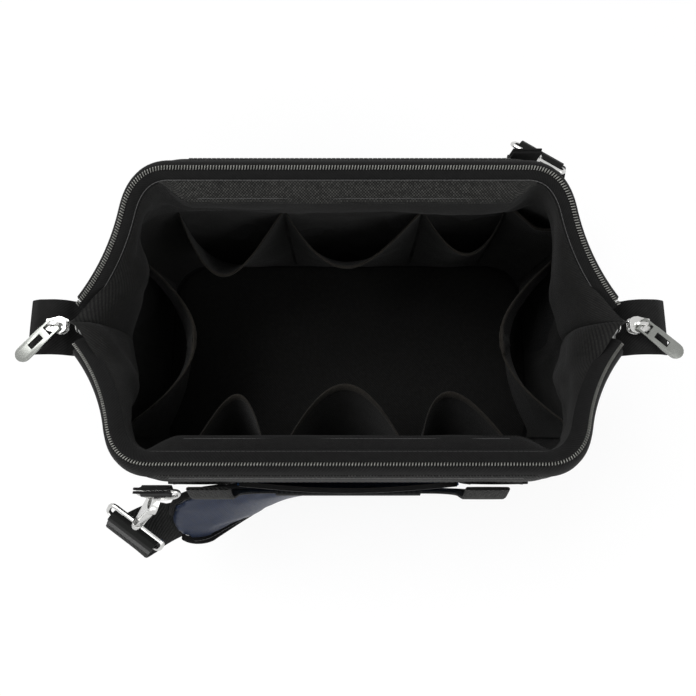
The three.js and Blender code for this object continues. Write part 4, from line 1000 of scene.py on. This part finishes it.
for side, middle in (("right", 1), ("left", 3)):
    pocket = wall_sheet(side + "_patch_pocket", middle - 0.3, middle + 0.3, 0.03, 0.6,
                        lambda along, share: 2.8 + END_POCKET_SLACK * np.sin(np.pi * along) * share, 2.0,
                        crumpled=(1.4, 0.5), seed=45 + middle, edge=0.5)
    dress(pocket, BLUE, "bag", "blue_cloth", side + "_end_pocket")

HANDLE_TOP = 109.385
HANDLE_OUT = 116
HANDLE_BOTTOM = 131
HANDLE_RADIUS = 30
HANDLE_STEPS = 120
GRIP_HALF = 52
GRIP_STATIONS = 60

bend = np.linspace(0, math.pi / 2, 6)
half = [[LOAD_X, -HANDLE_TOP, 196], [LOAD_X, -HANDLE_TOP - 3, 191], [LOAD_X, -HANDLE_OUT, 183]]
half += [[LOAD_X - HANDLE_RADIUS * (1 - math.cos(a)), -HANDLE_OUT,
          HANDLE_BOTTOM + HANDLE_RADIUS * (1 - math.sin(a))] for a in bend]
lean = [[1, 0, 0]] * 3 + [[math.cos(a), 0, -math.sin(a)] for a in bend]
line, leans = (np.array(part + [[-x, y, z] for x, y, z in part[::-1]], float) for part in (half, lean))
fine = np.array([catmull(line, t) for t in np.linspace(0, 1, HANDLE_STEPS)])
ways = between(np.linspace(0, len(line) - 1, HANDLE_STEPS), np.arange(len(line)), leans)
grip_x = np.linspace(-GRIP_HALF, GRIP_HALF, GRIP_STATIONS)
pinch = 1 - 0.10 * (np.abs(grip_x) / GRIP_HALF) ** 6
places = np.stack([grip_x, np.full_like(grip_x, -HANDLE_OUT), np.full_like(grip_x, HANDLE_BOTTOM)], -1)
across = np.tile([0.0, 0.0, 1.0], (GRIP_STATIONS, 1))
through = np.tile([0.0, -1.0, 0.0], (GRIP_STATIONS, 1))
for side, flip in (("front", np.ones(3)), ("back", HALF_TURN)):
    strap = band_along(side + "_handle_webbing", fine * flip, ways * flip, rounded_section(28, 2.2, 0.1))
    dress(strap, WEBBING, side + "_carrying_handle", "webbing", side + "_handle")
    grip = sweep(side + "_grip_wrap", places * flip, across, through * flip,
                 plump_section(20, 15.5, 3.1, 0.7), pinch)
    dress(grip, STRAP, side + "_carrying_handle", "webbing", side + "_grip")


# Zip ends

TAB_PATH = np.array([[-9, 0, -13], [1.2, 0, -8.8], [5.6, 0, -4.4], [12, 0, -2.4], [20, 0, -2.4], [24, 0, -3],
                     [30, 0, -6]]) + [ARM_END[0], 0, PIVOT_HEIGHT]

for side, flip in (("right", np.ones(3)), ("left", HALF_TURN)):
    line = spline(TAB_PATH, 26)
    line[:, 2] += crumple(line, 9, 60) * 0.4
    tab = band_along(side + "_zip_end_tab", line * flip, np.tile([0.0, 1.0, 0.0], (27, 1)) * flip,
                     rounded_section(40, 2.0, 0.15))
    dress(tab, TAPE, "bag", "webbing", side + "_zip_tab")
    fitting(side + "_slider", side + "_slider_body", NICKEL, side + "_zip_slider", "slider_metal", 0.3, 3)
    fitting(side + "_pull", side + "_pull_plate", DARK_NICKEL, side + "_zip_pull", "slider_metal", 0.4, 3)


# Strap fittings

STRAP_FITTINGS = (
    ("ring_tab", "ring_loop_webbing", BINDING, "frame", "webbing", 0.5, 3),
    ("d_ring", "d_ring_wire", NICKEL, "clip_ring", "steel", 0.0, 2, 2),
    ("hook", "snap_hook_body", NICKEL, "snap_hook", "steel", 0.7, 3),
    ("gate", "hook_gate_leaf", NICKEL, "hook_gate", "steel", 0.3),
    ("strap_loop", "wire_loop", NICKEL, "frame", "steel", 0.2),
    ("strap_end", "strap_fold", STRAP, "frame", "strap_webbing", 0.7, 3),
)
for side in ("front", "back"):
    for node, name, material, body, slot, *rounding in STRAP_FITTINGS:
        fitting(f"{side}_{node}", f"{side}_{name}", material, f"{side}_{body}", slot, *rounding)


# Shoulder strap and its pad

FOLD_DOWN = np.array([-0.4479, -0.3935, -0.8028])
LOOP_ACROSS = np.array([0.7833, -0.6056, -0.1403])
STRAP_END = np.array([-159.1711, -148.642, 132.8562])
FLOOR_LINE = 19.6
ON_EDGE = [0, 0, -1]
ROUTE = [
    (STRAP_END, LOOP_ACROSS), (STRAP_END + FOLD_DOWN * 10, LOOP_ACROSS),
    ([-157, -148, 96], [0.5, -0.75, -0.4]), ([-146, -145, 85], [0.25, -0.74, -0.62]),
    ([-118, -134, 80], [0, -0.66, -0.75]), ([-88, -124.5, 68], [0, -0.4, -0.92]),
    ([-55, -116, 50], [0, -0.12, -1]), ([-20, -112.5, 36], ON_EDGE), ([20, -111.8, 25], ON_EDGE),
    ([70, -111.6, FLOOR_LINE], ON_EDGE), ([140, -111.6, FLOOR_LINE], ON_EDGE),
    ([177, -99.5, FLOOR_LINE], ON_EDGE), ([195, -60, FLOOR_LINE], ON_EDGE),
    ([198, 0, FLOOR_LINE + 3], ON_EDGE), ([195, 55, FLOOR_LINE + 2], ON_EDGE),
    ([194, 98, 36], [-0.25, 0.3, -0.92]), ([180, 132, 66], [-0.5, 0.5, -0.7]),
    ((STRAP_END + FOLD_DOWN * 14) * HALF_TURN, LOOP_ACROSS * HALF_TURN),
    (STRAP_END * HALF_TURN, LOOP_ACROSS * HALF_TURN),
]
ROUTE_POINTS, ROUTE_ACROSS = (np.array([stop[k] for stop in ROUTE], float) for k in (0, 1))


def strap_at(t):
    places = np.array([catmull(ROUTE_POINTS, x) for x in t])
    across = between(t * (len(ROUTE) - 1), np.arange(len(ROUTE)), ROUTE_ACROSS)
    return places, across / np.linalg.norm(across, axis=1, keepdims=True)


ADJUSTER_AT = 13 / 18
for side, start, end in (("front", 0.0, ADJUSTER_AT), ("back", ADJUSTER_AT, 1.0)):
    places, across = strap_at(np.linspace(start, end, 150))
    strap = band_along(side + "_shoulder_webbing", places, across, rounded_section(38, 2.2, 0.1))
    dress(strap, STRAP, side, "strap_webbing", "shoulder_strap")


PAD_FROM = 0.175
PAD_TO = 0.42
PAD_STATIONS = 90
PAD_HALF = 31.0
PAD_RISE = 7.0
PAD_PUFF = 2.5
PAD_PRESSURE = 4.0


def pad_frame():
    places, across = strap_at(np.linspace(PAD_FROM, PAD_TO, PAD_STATIONS))
    way = tangents(places)
    flat = square_to(way, across)
    through = np.cross(way, flat)
    through *= -np.sign(through[:, 1:2])
    run = lengths_along(places, 0)
    near = np.clip(1 - run / 30.0, 0, 1)
    far = np.clip(1 - (run[-1] - run) / 58.0, 0, 1)
    scale = np.sqrt(np.maximum(0.03, 1 - near ** 2.4)) * np.maximum(0.55, 1 - 0.42 * far ** 1.6)
    scale *= np.sqrt(np.maximum(0.2, 1 - np.clip(1 - (run[-1] - run) / 9.0, 0, 1) ** 2))
    return places + through * PAD_RISE, flat, through, scale


def puffed(piece):
    """Fills a pad: a cloth simulation blows its cover up, and no point moves further than PAD_PUFF."""
    apply(piece, "REMESH", mode="VOXEL", voxel_size=4 * MM)
    before = points_of(piece.data)
    modifier = piece.modifiers.new("Cloth", "CLOTH")
    modifier.settings.use_pressure = True
    modifier.settings.uniform_pressure_force = PAD_PRESSURE
    modifier.settings.effector_weights.gravity = 0
    modifier.point_cache.frame_start = 1
    modifier.point_cache.frame_end = 20
    for step in range(1, 21):
        bpy.context.scene.frame_set(step)
    move = points_of(piece.evaluated_get(bpy.context.evaluated_depsgraph_get()).data) - before
    piece.modifiers.remove(modifier)
    bpy.context.scene.frame_set(1)
    far = np.linalg.norm(move, axis=1, keepdims=True)
    move *= np.minimum(1, PAD_PUFF * MM / np.maximum(far, 1e-9))
    piece.data.vertices.foreach_set("co", (before + move).ravel())
    return apply(piece, "SUBSURF", levels=1, render_levels=1)


def pad():
    places, flat, through, scale = pad_frame()
    piece = sweep("shoulder_pad", places, flat, through, plump_section(40, PAD_HALF, 4.0, 0.8), scale)
    puffed(piece)
    return smooth(piece)


pad_piece = pad()
dress(pad_piece, PAD, "front", "pad_cloth", "strap_pad")
pad_line, pad_flat, pad_through, pad_scale = pad_frame()
for label, sign in (("upper", -1.0), ("lower", 1.0)):
    edge = pad_line + pad_flat * (sign * (PAD_HALF + 0.6) * pad_scale)[:, None]
    tape = band_along(f"pad_{label}_binding", edge[2:-2], pad_through[2:-2], rounded_section(7.0, 2.6, 0.8))
    dress(tape, BINDING, "front", "pad_cloth")
    inner = pad_line + pad_flat * (sign * (PAD_HALF - 5.0) * pad_scale)[:, None] + pad_through * 4.0
    seam(f"pad_{label}_seam", inner[6:-4], pad_through[6:-4], "front", pitch=3.4, width=0.8)
fitting("strap_adjuster", "adjuster_loop", NICKEL, "bag", "steel", 0.5, 3)

bpy.data.objects.remove(STITCH)
bpy.data.objects.remove(TOOTH_UNIT)


# Floor, light, camera

def studio_floor():
    bpy.ops.mesh.primitive_plane_add(size=12, location=(0, 0, -0.0005))
    floor = bpy.context.object
    floor.name = "studio_floor"
    n = Nodes(bpy.data.materials.new("white_floor"))
    grain = n.noise(n.place(), 3.0, 2.0)
    tint = n.mix(grain, (0.93, 0.93, 0.93, 1), (0.97, 0.97, 0.97, 1))
    matt = n.put("ShaderNodeBsdfDiffuse", None, Color=tint).outputs[0]
    glow = n.put("ShaderNodeEmission", None, Color=(1, 1, 1, 1), Strength=1.0).outputs[0]
    path = n.put("ShaderNodeLightPath").outputs
    seen = n.math("MAXIMUM", path["Is Camera Ray"],
                  n.math("MAXIMUM", path["Is Glossy Ray"], path["Is Transmission Ray"]))
    blend = n.put("ShaderNodeMixShader", None, i0=n.math("MULTIPLY", seen, 0.86), i1=matt, i2=glow).outputs[0]
    floor.data.materials.append(n.end("ShaderNodeOutputMaterial", blend))


def studio_world():
    n = Nodes(bpy.data.worlds.new("studio"))
    path = n.put("ShaderNodeLightPath").outputs
    seen = n.math("MAXIMUM", path["Is Camera Ray"], path["Is Glossy Ray"])
    strength = n.put("ShaderNodeMapRange", None, Value=seen, To_Min=0.55, To_Max=1.0).outputs[0]
    light = n.put("ShaderNodeBackground", None, Color=(1, 1, 1, 1), Strength=strength).outputs[0]
    bpy.context.scene.world = n.end("ShaderNodeOutputWorld", light)


def lamp(name, place, target, size, power):
    light = bpy.data.lights.new(name, "AREA")
    light.shape = "RECTANGLE"
    light.size, light.size_y = size
    light.energy = power
    holder = add_object(name, light)
    holder.location = place
    holder.rotation_euler = (Vector(target) - Vector(place)).to_track_quat("-Z", "Y").to_euler()


studio_floor()
studio_world()
lamp("key", (-0.7, 0.5, 1.5), (0, 0, 0.1), (1.2, 0.9), 17)
lamp("fill", (1.1, -0.9, 1.1), (0, 0, 0.1), (1.0, 1.0), 9)
lamp("front", (-0.3, -1.4, 0.7), (0, 0, 0.15), (1.2, 0.6), 6)

camera = add_object("camera", bpy.data.cameras.new("camera"))
camera.data.lens = 28.97
camera.data.sensor_width = 36
camera.data.clip_start = 0.01
camera.location = (0, -0.081, 0.558)
camera.rotation_euler = (math.radians(9.6), 0, 0)
bpy.context.scene.camera = camera
bpy.context.scene.view_settings.view_transform = "Standard"
